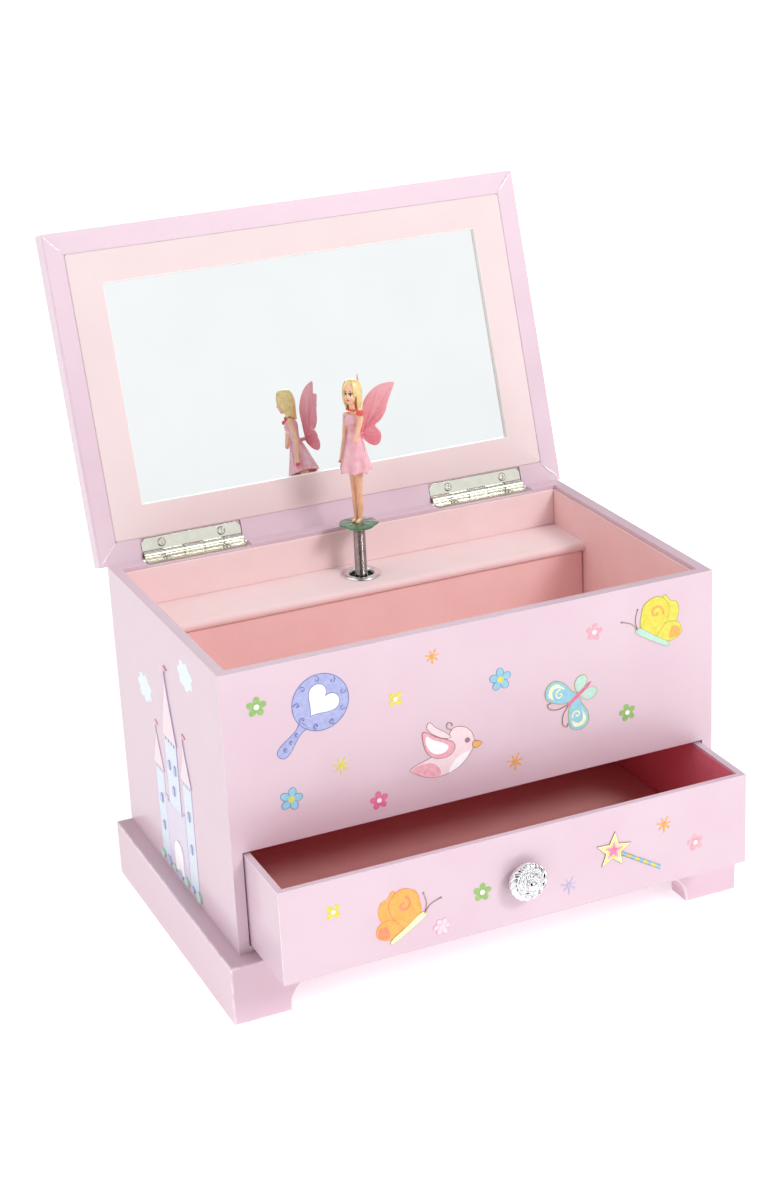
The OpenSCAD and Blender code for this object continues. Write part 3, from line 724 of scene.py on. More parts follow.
def lid_folds():
    """Paper turned in round the lid's inner border, mitred at the corners with lifted seams."""
    low, high = closed_box("lid_frame")
    mat_low, mat_high = closed_box("lid_mat")
    face = low.z
    outer, inner = 0.8, 0.4
    corners_out = [Vector((x, y)) for x, y in (
        (low.x + outer, low.y + outer), (high.x - outer, low.y + outer),
        (high.x - outer, high.y - outer), (low.x + outer, high.y - outer))]
    corners_in = [Vector((x, y)) for x, y in (
        (mat_low.x - inner, mat_low.y - inner), (mat_high.x + inner, mat_low.y - inner),
        (mat_high.x + inner, mat_high.y + inner), (mat_low.x - inner, mat_high.y + inner))]
    thick = 0.28
    steps = 10
    for k, name in ((1, "right"), (3, "left")):
        ends = []
        for corner, sign in ((k, 1), ((k + 1) % 4, -1)):
            line = []
            for i in range(steps + 1):
                t = i / steps
                wobble = 0.35 * noise.noise(Vector((t * 5, k, sign * 3.1)))
                line.append(corners_out[corner].lerp(corners_in[corner], t) + Vector((0, wobble)))
            ends.append(line)
        outline = ends[0] + ends[1][::-1]
        count = len(outline)
        verts = [Vector((p.x, p.y, face)) for p in outline]
        centre = sum(outline, Vector((0, 0))) / count
        for p in outline:
            pull = (centre - p).normalized() * 0.12
            verts.append(Vector((p.x + pull.x, p.y + pull.y, face - thick)))
        mesh = mesh_from(to_open(verts), prism_faces(count), "fold", [0, 0] + [1] * count)
        add_piece("lid_fold_" + name, mesh, "lid", ["lid_wrap", "wrap_edge"], (), 30)
    # The seams take the pale arris paper, which partly paints the white highlights along the mitres.
    seam_steps = 14
    for k in range(4):
        path, radii = [], []
        for i in range(seam_steps + 1):
            t = i / seam_steps
            p = corners_out[k].lerp(corners_in[k], t)
            sway = 0.25 * noise.noise(Vector((t * 4, k * 2.3, 1.7)))
            path.append(Vector((p.x + sway, p.y - sway, face - 0.12)))
            radii.append(0.34 * math.sin(math.pi * min(1, t * 0.9 + 0.08)) + 0.08)
        verts, faces = sweep(path, radii, 10)
        mesh = mesh_from(to_open(verts), faces)
        add_piece(f"lid_seam_{k}", mesh, "lid", ["wrap_edge"], ())


# ---------- metal parts ----------

def small_metal():
    """CAD parts whose shape is kept, with their arrises broken."""
    parts = [("hinge_base_leaves", "nickel", 0.12), ("hinge_lid_leaves", "nickel", 0.12),
             ("hinge_base_screws", "nickel", 0.05), ("hinge_lid_screws", "nickel", 0.05),
             ("winding_key", "brass", 0.25), ("movement_screws", "nickel", 0.08)]
    members = frame["record"]["behaviour"]["bodies"]
    bodies = {node: body for body, nodes in members.items() for node in nodes}
    for node, finish, radius in parts:
        mesh = clean(frame["nodes"][node].data.copy(), 0.2)
        obj = add_piece(node + "_plated", mesh, bodies[node], [finish], [node], 35)
        break_arrises(obj, radius, 2, 50)


def eyelet():
    """Chrome ring: a thin tube through the ledge, rolled over on top."""
    low, high = box_mm("eyelet")
    ledge_top = box_mm("ledge_top")[1].z
    bore, flange = 4.7, 7.8
    rim = []
    rise = high.z - ledge_top
    for k in range(13):
        t = math.pi * k / 12
        rim.append((bore + 0.15 + (1 - math.cos(t)) * (flange - bore - 0.15) / 2,
                    ledge_top + 0.06 + (rise - 0.06) * math.sin(t) ** 0.7))
    profile = [(bore, low.z), (bore, ledge_top)] + rim + [(bore + 0.9, ledge_top), (bore + 0.9, low.z)]
    mesh = mesh_from(*at_post(*lathe(profile, 96)))
    add_piece("eyelet_rolled", mesh, "box", ["chrome"], ["eyelet"], 50)


def figure_spring():
    """Close-wound wire spring, made upright; on the real box it bends over as the lid comes down."""
    low, high = box_mm("figure_spring")
    wire = 0.5
    radius = (high.x - low.x) / 2 - wire / 2
    turns = (high.z - low.z - wire) / wire
    per_turn = 28
    path = []
    for i in range(round(turns * per_turn) + 1):
        angle = TAU * i / per_turn
        path.append(Vector((radius * math.cos(angle), SPRING_BEND.y / MM + radius * math.sin(angle),
                            low.z + wire / 2 + wire * i / per_turn)))
    verts, faces = sweep(path, [wire / 2] * len(path), 8)
    mesh = mesh_from(verts, faces)
    spring = add_piece("figure_coil", mesh, None, ["steel"], ["figure_spring"])
    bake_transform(spring)


def drawer_knob():
    """Plated knob: two rings of slanting petals round a raised button, on a waisted stem."""
    low, high = box_mm("drawer_knob")
    radius = (high.x - low.x) / 2
    depth = high.y - low.y
    profile = [(0, 0), (3.7, 0), (3.6, 0.5), (2.9, 1.1), (2.9, 1.7), (4.2, 2.3), (radius - 0.8, 2.7)]
    profile += [(radius - 0.8 + 0.8 * math.sin(t), 3.5 - 0.8 * math.cos(t))
                for t in (math.pi / 2 * k / 5 for k in range(1, 6))]
    outer = [(radius, 4.1), (radius - 0.2, 4.9), (6.2, 5.6), (5.5, 5.9), (4.9, 5.6), (4.6, 5.1)]
    inner = [(4.5, 5.3), (4.1, 6.2), (3.4, 6.8), (2.8, 6.7), (2.4, 6.1)]
    rings = []
    for crown, petals, twist, cut in ((outer, 16, 0.6, 0.75), (inner, 11, -0.9, 0.6)):
        first = len(profile)
        profile += [(q.x, q.y) for q in spline([Vector(q) for q in crown], 4, False)]
        rings.append((first, len(profile) - 1, petals, twist, cut))
    profile += [(2.0, 6.2), (1.95, 7.2)]
    profile += [(1.9 * math.cos(t), 7.4 + 1.4 * math.sin(t))
                for t in (math.pi / 2 * k / 8 for k in range(8))]
    profile.append((0, depth - 0.1))

    def petalled(place, angle, r, k):
        for first, last, petals, twist, cut in rings:
            if first <= k <= last:
                t = (k - first) / (last - first)
                groove = (0.5 - 0.5 * math.cos(petals * (angle + twist * t))) ** 2
                place.z -= cut * groove * math.sin(math.pi * min(1, 0.1 + 0.9 * t))
        return place

    verts, faces = lathe(profile, 192, petalled)
    centre = (low + high) / 2
    turn = Matrix.Translation((centre.x, high.y, centre.z)) @ Matrix.Rotation(math.pi / 2, 4, "X")
    mesh = mesh_from([turn @ v for v in verts], faces)
    add_piece("drawer_knob_petalled", mesh, "drawer", ["chrome"], ["drawer_knob"], 50)


# ---------- the turning fairy ----------

def leaf_base():
    """Glossy leaf disc with a wavy rim and raised veins."""
    top = box_mm("leaf_base")[1].z
    bottom = top - 1.3
    radius = 7.9
    rings = 14
    shares = [k / rings for k in range(1, rings)]
    profile = [(0, bottom + 0.1)] + [(radius * share, bottom + 0.25 * share ** 2) for share in shares]
    profile += [(radius, bottom + 0.55)]
    profile += [(radius * share, top - 0.1 - 0.35 * share ** 3) for share in reversed(shares)]
    profile += [(0, top - 0.1)]

    def wavy(place, angle, r, k):
        share = r / radius
        scale = 1 - 0.07 * share * (0.5 + 0.5 * math.sin(3 * angle + 0.6)) - 0.03 * math.sin(7 * angle)
        place.x *= scale
        place.y *= scale
        place.z += 0.28 * share ** 2 * math.sin(3 * angle) * 0.5
        if k > rings:
            place.z += 0.16 * share * (1 - share) * 4 * abs(math.cos(4 * angle)) ** 6
        return place

    stem = [(wide, bottom + rise)
            for wide, rise in ((0, -1.6), (1.5, -1.6), (1.6, -0.2), (2.6, 0.4), (0, 0.5))]
    mesh = mesh_from(*joined([lathe(profile, 96, wavy), lathe(stem, 32)]))
    add_piece("leaf_disc", on_figure(mesh), "figure", ["leaf"], ["leaf_base"], 60)


# The fairy's heights, head, hands and wings in millimetres, as it faces the front
FEET_Z = 133.3
HEM_Z = 154
NECK_Z = 177.5
HEAD = Vector((0, -0.4, 184.8))
HEAD_TURN = Matrix.Rotation(math.radians(18), 4, "Z") @ Matrix.Diagonal((0.8, 0.86, 1, 1))
ON_HEAD = ON_FIGURE @ HEAD_TURN
LEFT_ELBOW = Vector((4.7, -4.0, 167.8))
LEFT_HAND = Vector((5.9, -1.9, 176.1))
RIGHT_ELBOW = Vector((-5.4, 0.4, 166.5))
RIGHT_HAND = Vector((-6.1, -1.3, 158.4))
WING_ROOT = 4.2
WING_SPREAD = math.radians(49)


def on_figure(mesh, frame_of=ON_FIGURE):
    """Turns a mesh made facing the front to the way the fairy faces on the post."""
    mesh.transform(frame_of)
    return mesh


def fairy_skin():
    """Legs, arms, neck and head, melted together."""
    parts = []
    for side in (-1, 1):
        x = side * 1.2
        parts += [
            capsule((x, 0.1, FEET_Z + 2.2), (x * 1.05, 0.3, FEET_Z + 8), 0.85, 1.3),
            capsule((x * 1.05, 0.3, FEET_Z + 8), (x * 1.1, 0, FEET_Z + 12.2), 1.38, 1.15),
            capsule((x * 1.1, 0, FEET_Z + 12.2), (x * 1.3, 0.1, HEM_Z + 1), 1.2, 1.8),
            capsule((x, 0.5, FEET_Z + 1.9), (x * 0.9, -1.6, FEET_Z + 0.75), 0.8, 0.7),
        ]
    left, right = Vector((3.7, 0.3, NECK_Z - 2.3)), Vector((-3.7, 0, NECK_Z - 2.3))
    parts += [
        capsule(left, LEFT_ELBOW, 1.2, 0.95), capsule(LEFT_ELBOW, LEFT_HAND, 0.95, 0.68),
        capsule(right, RIGHT_ELBOW, 1.2, 0.92), capsule(RIGHT_ELBOW, RIGHT_HAND, 0.92, 0.68),
        ellipsoid(LEFT_HAND + Vector((0, -0.1, 0.5)), (0.85, 0.7, 1.05)),
        ellipsoid(RIGHT_HAND + Vector((0, -0.1, -0.5)), (0.7, 0.8, 1.05)),
        capsule((-3.1, 0.1, NECK_Z - 2), (3.1, 0.1, NECK_Z - 2), 1.35, 1.35),
        capsule((0, 0.4, NECK_Z - 1.5), (0, -0.1, NECK_Z + 4), 1.45, 1.35),
        ellipsoid((0, 0, NECK_Z - 3.5), (3.1, 2.2, 3)),
    ]
    head = [
        ellipsoid(HEAD + Vector((0, 0.3, 0.7)), (3.3, 3.7, 3.6)),
        ellipsoid(HEAD + Vector((0, -1.0, -1.2)), (2.75, 2.7, 3.1)),
        ellipsoid(HEAD + Vector((0, -2.3, -3.3)), (1.25, 1.0, 0.95)),
        ellipsoid(HEAD + Vector((1.4, -2.1, -1.5)), (1.2, 1.2, 1.3)),
        ellipsoid(HEAD + Vector((-1.4, -2.1, -1.5)), (1.2, 1.2, 1.3)),
        capsule(HEAD + Vector((0, -3.2, 0.4)), HEAD + Vector((0, -3.85, -1.0)), 0.34, 0.46),
        capsule(HEAD + Vector((-0.45, -3.25, -2.2)), HEAD + Vector((0.45, -3.25, -2.2)), 0.34, 0.34),
        capsule(HEAD + Vector((-1.7, -2.75, 0.95)), HEAD + Vector((1.7, -2.75, 0.95)), 0.5, 0.5),
    ]
    parts += [([HEAD_TURN @ v for v in verts], faces) for verts, faces in head]
    mesh = on_figure(melted(parts, 0.17, 3))
    return add_piece("fairy_skin", mesh, "figure", ["skin"], ["fairy_body"])


def face_paint(skin):
    """Eyes, brows and lips laid on the face as thin paint."""
    points = [v.co for v in skin.data.vertices]
    tree = BVHTree.FromPolygons(points, [list(face.vertices) for face in skin.data.polygons])
    inward = ON_HEAD.to_3x3() @ Vector((0, 1, 0))
    from_head = ON_HEAD.inverted()

    def paint(name, outline, finish, lift):
        top, bottom = [], []
        centre = sum((Vector(q) for q in outline), Vector((0, 0))) / len(outline)
        for share in (1.0, 0.55):
            for point in outline:
                q = centre + (Vector(point) - centre) * share
                start = ON_HEAD @ (Vector((q.x, -9, HEAD.z + q.y)) * MM)
                hit = tree.ray_cast(start, inward, 20 * MM)[0]
                place = from_head @ hit / MM
                top.append(place + Vector((0, -lift, 0)))
                bottom.append(place + Vector((0, 0.1, 0)))
        n = len(outline)
        faces = []
        for i in range(n):
            j = (i + 1) % n
            faces.append([i, j, n + j, n + i])
            faces.append([2 * n + j, 2 * n + i, 3 * n + i, 3 * n + j])
            faces.append([j, i, 2 * n + i, 2 * n + j])
        faces.append([n + i for i in range(n)])
        faces.append([3 * n + i for i in reversed(range(n))])
        mesh = on_figure(mesh_from(top + bottom, faces), ON_HEAD)
        add_piece(name, mesh, "figure", [finish], (), 40)

    def oval(x, z, wide, tall, sides=18):
        turns = [TAU * k / sides for k in range(sides)]
        return [(x + wide * math.cos(t), z + tall * math.sin(t)) for t in turns]

    def arch(x, z, wide, tall, thick, low=0.0, high=1.0):
        over = [math.pi * (low + (high - low) * k / 10) for k in range(11)]
        line = [(x + wide * math.cos(t), z + tall * math.sin(t)) for t in over]
        wide, tall = wide - thick, tall - thick
        return line + [(x + wide * math.cos(t), z + tall * math.sin(t)) for t in reversed(over)]

    for side, name in ((-1, "right"), (1, "left")):
        x = side * 1.35
        paint("eye_white_" + name, oval(x, 0.05, 0.85, 0.5), "white_paint", 0.04)
        paint("eye_iris_" + name, oval(x, 0.02, 0.46, 0.5, 14), "dark_paint", 0.07)
        paint("eye_lash_" + name, arch(x, 0.05, 1.0, 0.7, 0.24), "dark_paint", 0.07)
        paint("eye_brow_" + name, arch(x, 0.6, 0.95, 0.75, 0.17, 0.2, 0.8), "brow_paint", 0.05)
    lips = [(0.75 * math.cos(t), -2.2 + 0.34 * math.sin(t) * (1.15 - 0.35 * abs(math.cos(2 * t))))
            for t in (TAU * k / 18 for k in range(18))]
    paint("lips", lips, "lip_paint", 0.05)


def fairy_dress():
    """Sleeveless dress: fitted bodice, and a flared skirt with broad folds and a scalloped hem."""
    outline = [(5.45, HEM_Z), (5.7, HEM_Z + 0.6), (5.45, HEM_Z + 3), (4.95, HEM_Z + 6), (4.45, HEM_Z + 9),
               (3.8, HEM_Z + 11.8), (3.05, HEM_Z + 13.8), (2.7, HEM_Z + 15.4), (2.9, HEM_Z + 17),
               (3.35, HEM_Z + 19), (3.6, HEM_Z + 20.6), (3.4, HEM_Z + 21.8), (2.7, HEM_Z + 22.5)]
    smooth = spline([Vector(q) for q in outline], 5, False)
    profile = [(q.x, q.y) for q in smooth] + [(max(0.4, q.x - 0.7), q.y + 0.05) for q in reversed(smooth)]
    last = len(profile) - 1

    def folded(place, angle, r, k):
        level = min(k, last - k)
        t = min(1, max(0, (HEM_Z + 13.5 - place.z) / 13.5))
        fold = 1 + 0.13 * t * math.cos(7 * angle) + 0.03 * t * math.cos(4 * angle + 1)
        place.x *= fold
        place.y *= fold * (1.0 - 0.26 * (1 - t))
        if level < 4:
            place.z += 0.7 * abs(math.sin(3.5 * angle)) - 0.1
        if place.z > HEM_Z + 18:
            chest = math.exp(-((place.z - HEM_Z - 19.3) / 1.6) ** 2)
            front = max(0, -math.sin(angle))
            place.y -= 0.7 * chest * front * (1 - 0.3 * math.cos(4 * angle))
        return place

    mesh = on_figure(mesh_from(*lathe(profile, 132, folded)))
    add_piece("fairy_gown", mesh, "figure", ["dress"], ["fairy_dress"], 70)


def fairy_hair():
    """Long wavy hair laid in strands from a centre parting, short over the forehead."""
    parts = [ellipsoid(HEAD + Vector((0, 1.0, 1.0)), (3.8, 3.8, 3.8)),
             ellipsoid(HEAD + Vector((0, 2.4, -3.5)), (2.9, 1.7, 4.0))]
    strands = 40
    for k in range(strands):
        spread = -1 + 2 * k / (strands - 1)
        angle = spread * math.radians(140)
        wave = 0.55 * math.sin(k * 2.1)
        side = math.sin(angle)
        back = math.cos(angle)
        fringe = abs(spread) > 0.88
        low = -1.6 if fringe else -8.6 + 1.6 * abs(side)
        # Each knot: its reach to the side, where it lies front to back beside the ears, how much
        # further back it lies behind the head, and its height
        knots = [(0.5, -0.2, 0.4, 4.7), (2.8, 0.7, 2.7, 4.0), (4.0, 0.8, 3.8, 1.5),
                 (4.1 + 0.3 * wave, 0.9, 3.6, -0.5 if fringe else -1.6),
                 (3.7 + wave, 1.1, 2.8, low * 0.55), (3.3 - wave, 1.4, 1.9, low)]
        line = [HEAD + Vector((side * out, near + back * far, z)) for out, near, far, z in knots]
        path = spline(line, 5, False)
        swell = [math.sin(math.pi * (0.12 + 0.8 * i / len(path))) for i in range(len(path))]
        parts.append(sweep(path, [0.6 * (0.45 + 0.55 * share) for share in swell], 8))
    mesh = on_figure(melted(parts, 0.19, 1), ON_HEAD)
    add_piece("fairy_locks", mesh, "figure", ["hair"], ["fairy_hair"])


# One wing seen flat, as distance out from its root line and height; then the tips of its veins
WING = [(0, 168.8), (0.4, 174), (1.2, 180), (4.2, 184.3), (7.6, 186.6), (11.4, 187.4), (13.1, 187.2),
        (12.7, 185.6), (11.2, 182), (10.2, 179), (9.4, 176.2), (7.4, 172.8), (5.2, 170.8), (6.8, 168.6),
        (7.4, 166.4), (6.6, 163.8), (4.8, 162.8), (2.2, 163.9), (0, 166.4)]
WING_VEINS = [(12.2, 186.2), (11.4, 182.4), (9.6, 178.6), (8.2, 174.8), (6.4, 184.2),
              (6.2, 168.4), (6.6, 166), (5.4, 164), (3.2, 164.4)]


def fairy_wings():
    """Two moulded butterfly wings with a rounded rim and raised veins, on a stem at the back."""
    outline = spline([Vector(q) for q in WING], 4)
    n = len(outline)
    root = Vector((0.8, 168))
    for side, name in ((-1, "right"), (1, "left")):
        turn = (Matrix.Translation((0, WING_ROOT, 0))
                @ Matrix.Rotation(math.pi / 2 - side * WING_SPREAD, 4, "Z"))

        def placed(q, off):
            return turn @ Vector((q.x, off + 0.05 * (q.x / 6) ** 2 * side, q.y))

        verts, rows = [], []
        rings = [(1.0, 0.0), (0.985, 0.22), (0.96, 0.3), (0.8, 0.24), (0.4, 0.22)]
        for face, used in ((1, rings), (-1, rings[1:])):
            for share, off in used:
                rows.append([len(verts) + i for i in range(n)])
                verts += [placed(root + (q - root) * share, off * face) for q in outline]
        faces = []
        for chain in (rows[:5], rows[:1] + rows[5:]):
            for a, b in zip(chain, chain[1:]):
                faces += [[a[i], a[(i + 1) % n], b[(i + 1) % n], b[i]] for i in range(n)]
            faces.append(chain[-1])
        parts = [(verts, faces)]
        for tip in WING_VEINS:
            middle = root.lerp(Vector(tip), 0.5) + Vector((0.3, 0.5 if tip[1] > 172 else -0.2))
            line = spline([root, middle, Vector(tip)], 6, False)
            for face in (1, -1):
                radii = [0.22 * (1 - 0.6 * i / len(line)) for i in range(len(line))]
                parts.append(sweep([placed(q, 0.24 * face) for q in line], radii, 8))
        parts.append(capsule((side * 0.1, 1.8, 167.9), (side * 0.1, WING_ROOT + 0.3, 167.9), 0.75, 0.7))
        mesh = on_figure(mesh_from(*joined(parts)))
        add_piece("fairy_wing_" + name, mesh, "figure", ["wing"], ["fairy_wings"], 50)


def fairy_flowers():
    """A red rose held up in one hand, one held low in the other, and a rose collar."""
    def rose(centre, radius):
        bloom = [ellipsoid(centre, (radius * 0.62, radius * 0.62, radius * 0.6), 16, 8)]
        for ring, count, lift in ((0.5, 5, 0.32), (0.72, 7, 0.0)):
            for k in range(count):
                angle = TAU * (k + ring) / count
                place = Vector((math.cos(angle), math.sin(angle), 0)) * radius * ring
                bloom.append(ellipsoid(Vector(centre) + place + Vector((0, 0, lift * radius)),
                                       (radius * 0.38, radius * 0.38, radius * 0.34), 12, 7))
        return bloom

    blooms = rose(LEFT_HAND + Vector((0.1, -0.1, 2.0)), 1.6)
    blooms += rose(RIGHT_HAND + Vector((0, -0.2, -1.5)), 1.0)
    for k in range(7):
        angle = math.radians(200 + 23.3 * k)
        blooms += rose(Vector((2.1 * math.cos(angle), 0.2 + 1.9 * math.sin(angle), NECK_Z + 0.6)), 0.55)
    mesh = on_figure(mesh_from(*joined(blooms)))
    add_piece("fairy_roses", mesh, "figure", ["flower"], ["fairy_flowers"])


# ---------- printed motifs ----------

# How far the inks reach into the paper, in millimetres
SUNK = -0.02


class Print:
    """Flat inks laid on a face: each shape is a very thin closed solid, later ones a little higher."""

    def __init__(self, name, body, centre, right, normal, turn=0.0, size=1.0):
        self.name, self.body = name, body
        self.centre, self.right, self.normal = Vector(centre), Vector(right), Vector(normal)
        self.up = self.normal.cross(self.right)
        self.turn = math.radians(turn)
        self.size = size
        self.verts, self.faces, self.kinds, self.inks = [], [], [], []
        self.layer = 0

    def place(self, p, lift):
        """A drawn point on the face, lift millimetres above it."""
        c, s = math.cos(self.turn), math.sin(self.turn)
        x, y = p[0] * self.size, p[1] * self.size
        return self.centre + self.right * (x * c - y * s) + self.up * (x * s + y * c) + self.normal * lift

    def kind(self, colour):
        """The material slot of an ink, added on first use."""
        if colour not in self.inks:
            self.inks.append(colour)
        return self.inks.index(colour)

    def lift(self):
        """The height in millimetres of the next shape's top."""
        self.layer += 1
        return 0.05 + 0.022 * (self.layer - 1)

    def fill(self, outline, colour):
        """A filled shape."""
        start = len(self.verts)
        for height in (self.lift(), SUNK):
            self.verts += [self.place(p, height) for p in outline]
        self.faces += prism_faces(len(outline), start)
        self.kinds += [self.kind(colour)] * (len(outline) + 2)

    def line(self, points, width, colour, closed=False):
        """A drawn line of even width."""
        points = [Vector(p[:2]) for p in points]
        n = len(points)
        left, right = [], []
        for i in range(n):
            before = points[(i - 1) % n] if closed else points[max(i - 1, 0)]
            after = points[(i + 1) % n] if closed else points[min(i + 1, n - 1)]
            ahead = after - before
            ahead = ahead.normalized() if ahead.length else Vector((1, 0))
            out = Vector((-ahead.y, ahead.x)) * width / 2 / self.size
            left.append(points[i] + out)
            right.append(points[i] - out)
        lift = self.lift()
        start = len(self.verts)
        for row, height in ((left, lift), (right, lift), (left, SUNK), (right, SUNK)):
            self.verts += [self.place(p, height) for p in row]
        spans = n if closed else n - 1
        made = []
        for i in range(spans):
            j = (i + 1) % n
            made.append([start + i, start + j, start + n + j, start + n + i])
            made.append([start + 2 * n + j, start + 2 * n + i, start + 3 * n + i, start + 3 * n + j])
            made.append([start + j, start + i, start + 2 * n + i, start + 2 * n + j])
            made.append([start + n + i, start + n + j, start + 3 * n + j, start + 3 * n + i])
        if not closed:
            made.append([start, start + n, start + 3 * n, start + 2 * n])
            made.append([start + 2 * n - 1, start + 4 * n - 1, start + 3 * n - 1, start + n - 1])
        self.faces += made
        self.kinds += [self.kind(colour)] * len(made)

    def draw(self, motif, *details):
        """Draws a motif and adds it to the scene as one piece."""
        motif(self, *details)
        mesh = mesh_from(self.verts, self.faces, self.name, self.kinds)
        add_piece(self.name, mesh, self.body, ["ink_" + colour for colour in self.inks], (), 30)


def disc(radius, centre=(0, 0), sides=28, tall=1.0):
    """Points round a circle, or an oval when tall isn't 1."""
    x, y = centre
    turns = [TAU * k / sides for k in range(sides)]
    return [(x + radius * math.cos(t), y + radius * tall * math.sin(t)) for t in turns]


def curl(centre, start, step, end, facing=0.0, hand=1, spans=30):
    """A spiral line that opens outward from its centre."""
    x, y = centre
    turns = [start + (end - start) * i / spans for i in range(spans + 1)]
    return [(x + step * t * math.cos(facing + hand * t), y + step * t * math.sin(facing + hand * t))
            for t in turns]


def flower(print_, radius, petals, colour, heart, outline=None):
    """Rounded petals, some reaching a little further, round a small heart."""
    radius *= 0.9
    for k in range(petals):
        angle = TAU * k / petals
        reach = radius * (0.6 + 0.05 * math.sin(3.1 * k))
        turned = Matrix.Rotation(angle, 2)
        petal = [turned @ Vector((reach + x, y)) for x, y in disc(radius * 0.4, (0, 0), 18, 0.33 / 0.4)]
        print_.fill(petal, colour)
        if outline:
            print_.line(petal, 0.18, outline, True)
    print_.fill(disc(radius * 0.34), colour)
    print_.fill(disc(radius * 0.26), heart)


def sparkle(print_, radius, rays, colour):
    """Drawn rays, every other one longer, round a small disc."""
    for k in range(rays):
        angle = TAU * k / rays + 0.2
        reach = radius * (1 if k % 2 else 0.85)
        tip = (reach * math.cos(angle), reach * math.sin(angle))
        print_.line([(0, 0), (tip[0] * 0.5, tip[1] * 0.5), tip], 0.55, colour)
    print_.fill(disc(radius * 0.24), colour)


def mirrored(side, points):
    """The points as given for side 1, or swapped left to right for side -1."""
    return [(side * x, y) for x, y in points]


def hand_mirror(print_):
    """A round hand mirror: a heart in the glass, and curls round the frame and down the handle."""
    frame_radius = 10.4
    edge = [(-1.7, -9.6), (-1.2, -12.5), (-1.6, -16), (-2.3, -20), (-1.8, -22.6)]
    handle = spline(edge + [(0, -23.4)] + mirrored(-1, reversed(edge)), 4)
    turns = [TAU * k / 40 for k in range(40)]
    size = 0.4
    heart = [(size * 16 * math.sin(t) ** 3,
              size * (13 * math.cos(t) - 5 * math.cos(2 * t) - 2 * math.cos(3 * t) - math.cos(4 * t)) + 0.6)
             for t in turns]
    print_.fill(disc(frame_radius), "violet")
    print_.fill(handle, "violet")
    print_.line(handle, 0.28, "slate", True)
    print_.line(disc(frame_radius, sides=48), 0.28, "slate", True)
    print_.fill(heart, "white")
    print_.line(heart, 0.22, "slate", True)
    for k in range(9):
        angle = TAU * k / 9 + 0.35
        centre = (8.6 * math.cos(angle), 8.6 * math.sin(angle))
        print_.line(curl(centre, 0.5, 0.2, 6.35, angle, 1, 13), 0.2, "slate")
    for k in range(3):
        print_.line(curl((0, -13.5 - 3.2 * k), 0.5, 0.17, 5.5, 0, 1, 10), 0.2, "slate")


def bird(print_):
    """A round bird flying to the right, its wing lifted and its breast white."""
    body = spline([(10.2, -1.1), (11.2, 1.4), (10.2, 5.6), (7.2, 8.4), (3.2, 8.8), (0.8, 5.4), (-1.5, 1.0),
                   (-6.2, -0.6), (-13.9, -3.2), (-12.0, -5.4), (-8.3, -7.5), (-3.7, -8.5), (1.9, -7.8),
                   (6.7, -5.2)], 5)
    tail = spline([(-13.6, -3.4), (-9.0, -2.4), (-5.4, -2.8), (-3.0, -5.0), (-2.6, -8.1), (-8.3, -7.3),
                   (-11.8, -5.4)], 4)
    breast = spline([(9.2, -1.6), (5.8, -2.0), (2.6, -4.4), (0.8, -8.2), (4.0, -7.0), (7.4, -4.2)], 4)
    back_wing = spline([(-6.0, 13.0), (-6.8, 10.4), (-2.2, 6.4), (2.0, 5.4), (0.6, 7.4), (-3.4, 10.4)], 4)
    wing = spline([(-8.3, 9.8), (-8.7, 6.4), (-7.4, 1.8), (-4.3, -1.1), (0.3, -1.6), (3.2, 0.4), (3.1, 3.2),
                   (0.4, 5.0), (-3.4, 6.8)], 5)
    feathers = spline([(-7.2, 8.0), (-7.8, 5.6), (-6.4, 2.2), (-3.6, 0.2), (-0.4, 0.4), (1.0, 2.4),
                       (-1.4, 4.4), (-4.6, 6.0)], 5)
    beak = spline([(10.6, 1.8), (12.4, 1.9), (14.0, 0.8), (12.0, -0.6), (10.4, 0)], 4)
    crest = spline([(2.4, 8.2), (0.6, 9.6), (1.0, 11.2), (2.6, 10.8), (2.6, 9.8)], 5, False)
    print_.fill(body, "blush")
    print_.fill(tail, "rose")
    print_.fill(breast, "white")
    print_.line(body, 0.2, "brown", True)
    for shape, colour, width, edge in ((back_wing, "blush", 0.2, "brown"), (wing, "rose", 0.2, "brown"),
                                       (feathers, "white", 0.12, "rose"), (beak, "orange", 0.2, "brown")):
        print_.fill(shape, colour)
        print_.line(shape, width, edge, True)
    print_.fill(disc(0.95, (8.4, 3.0), 18), "brown")
    print_.fill(disc(0.4, (8.6, 3.2), 12), "slate")
    print_.line(crest, 0.2, "brown")


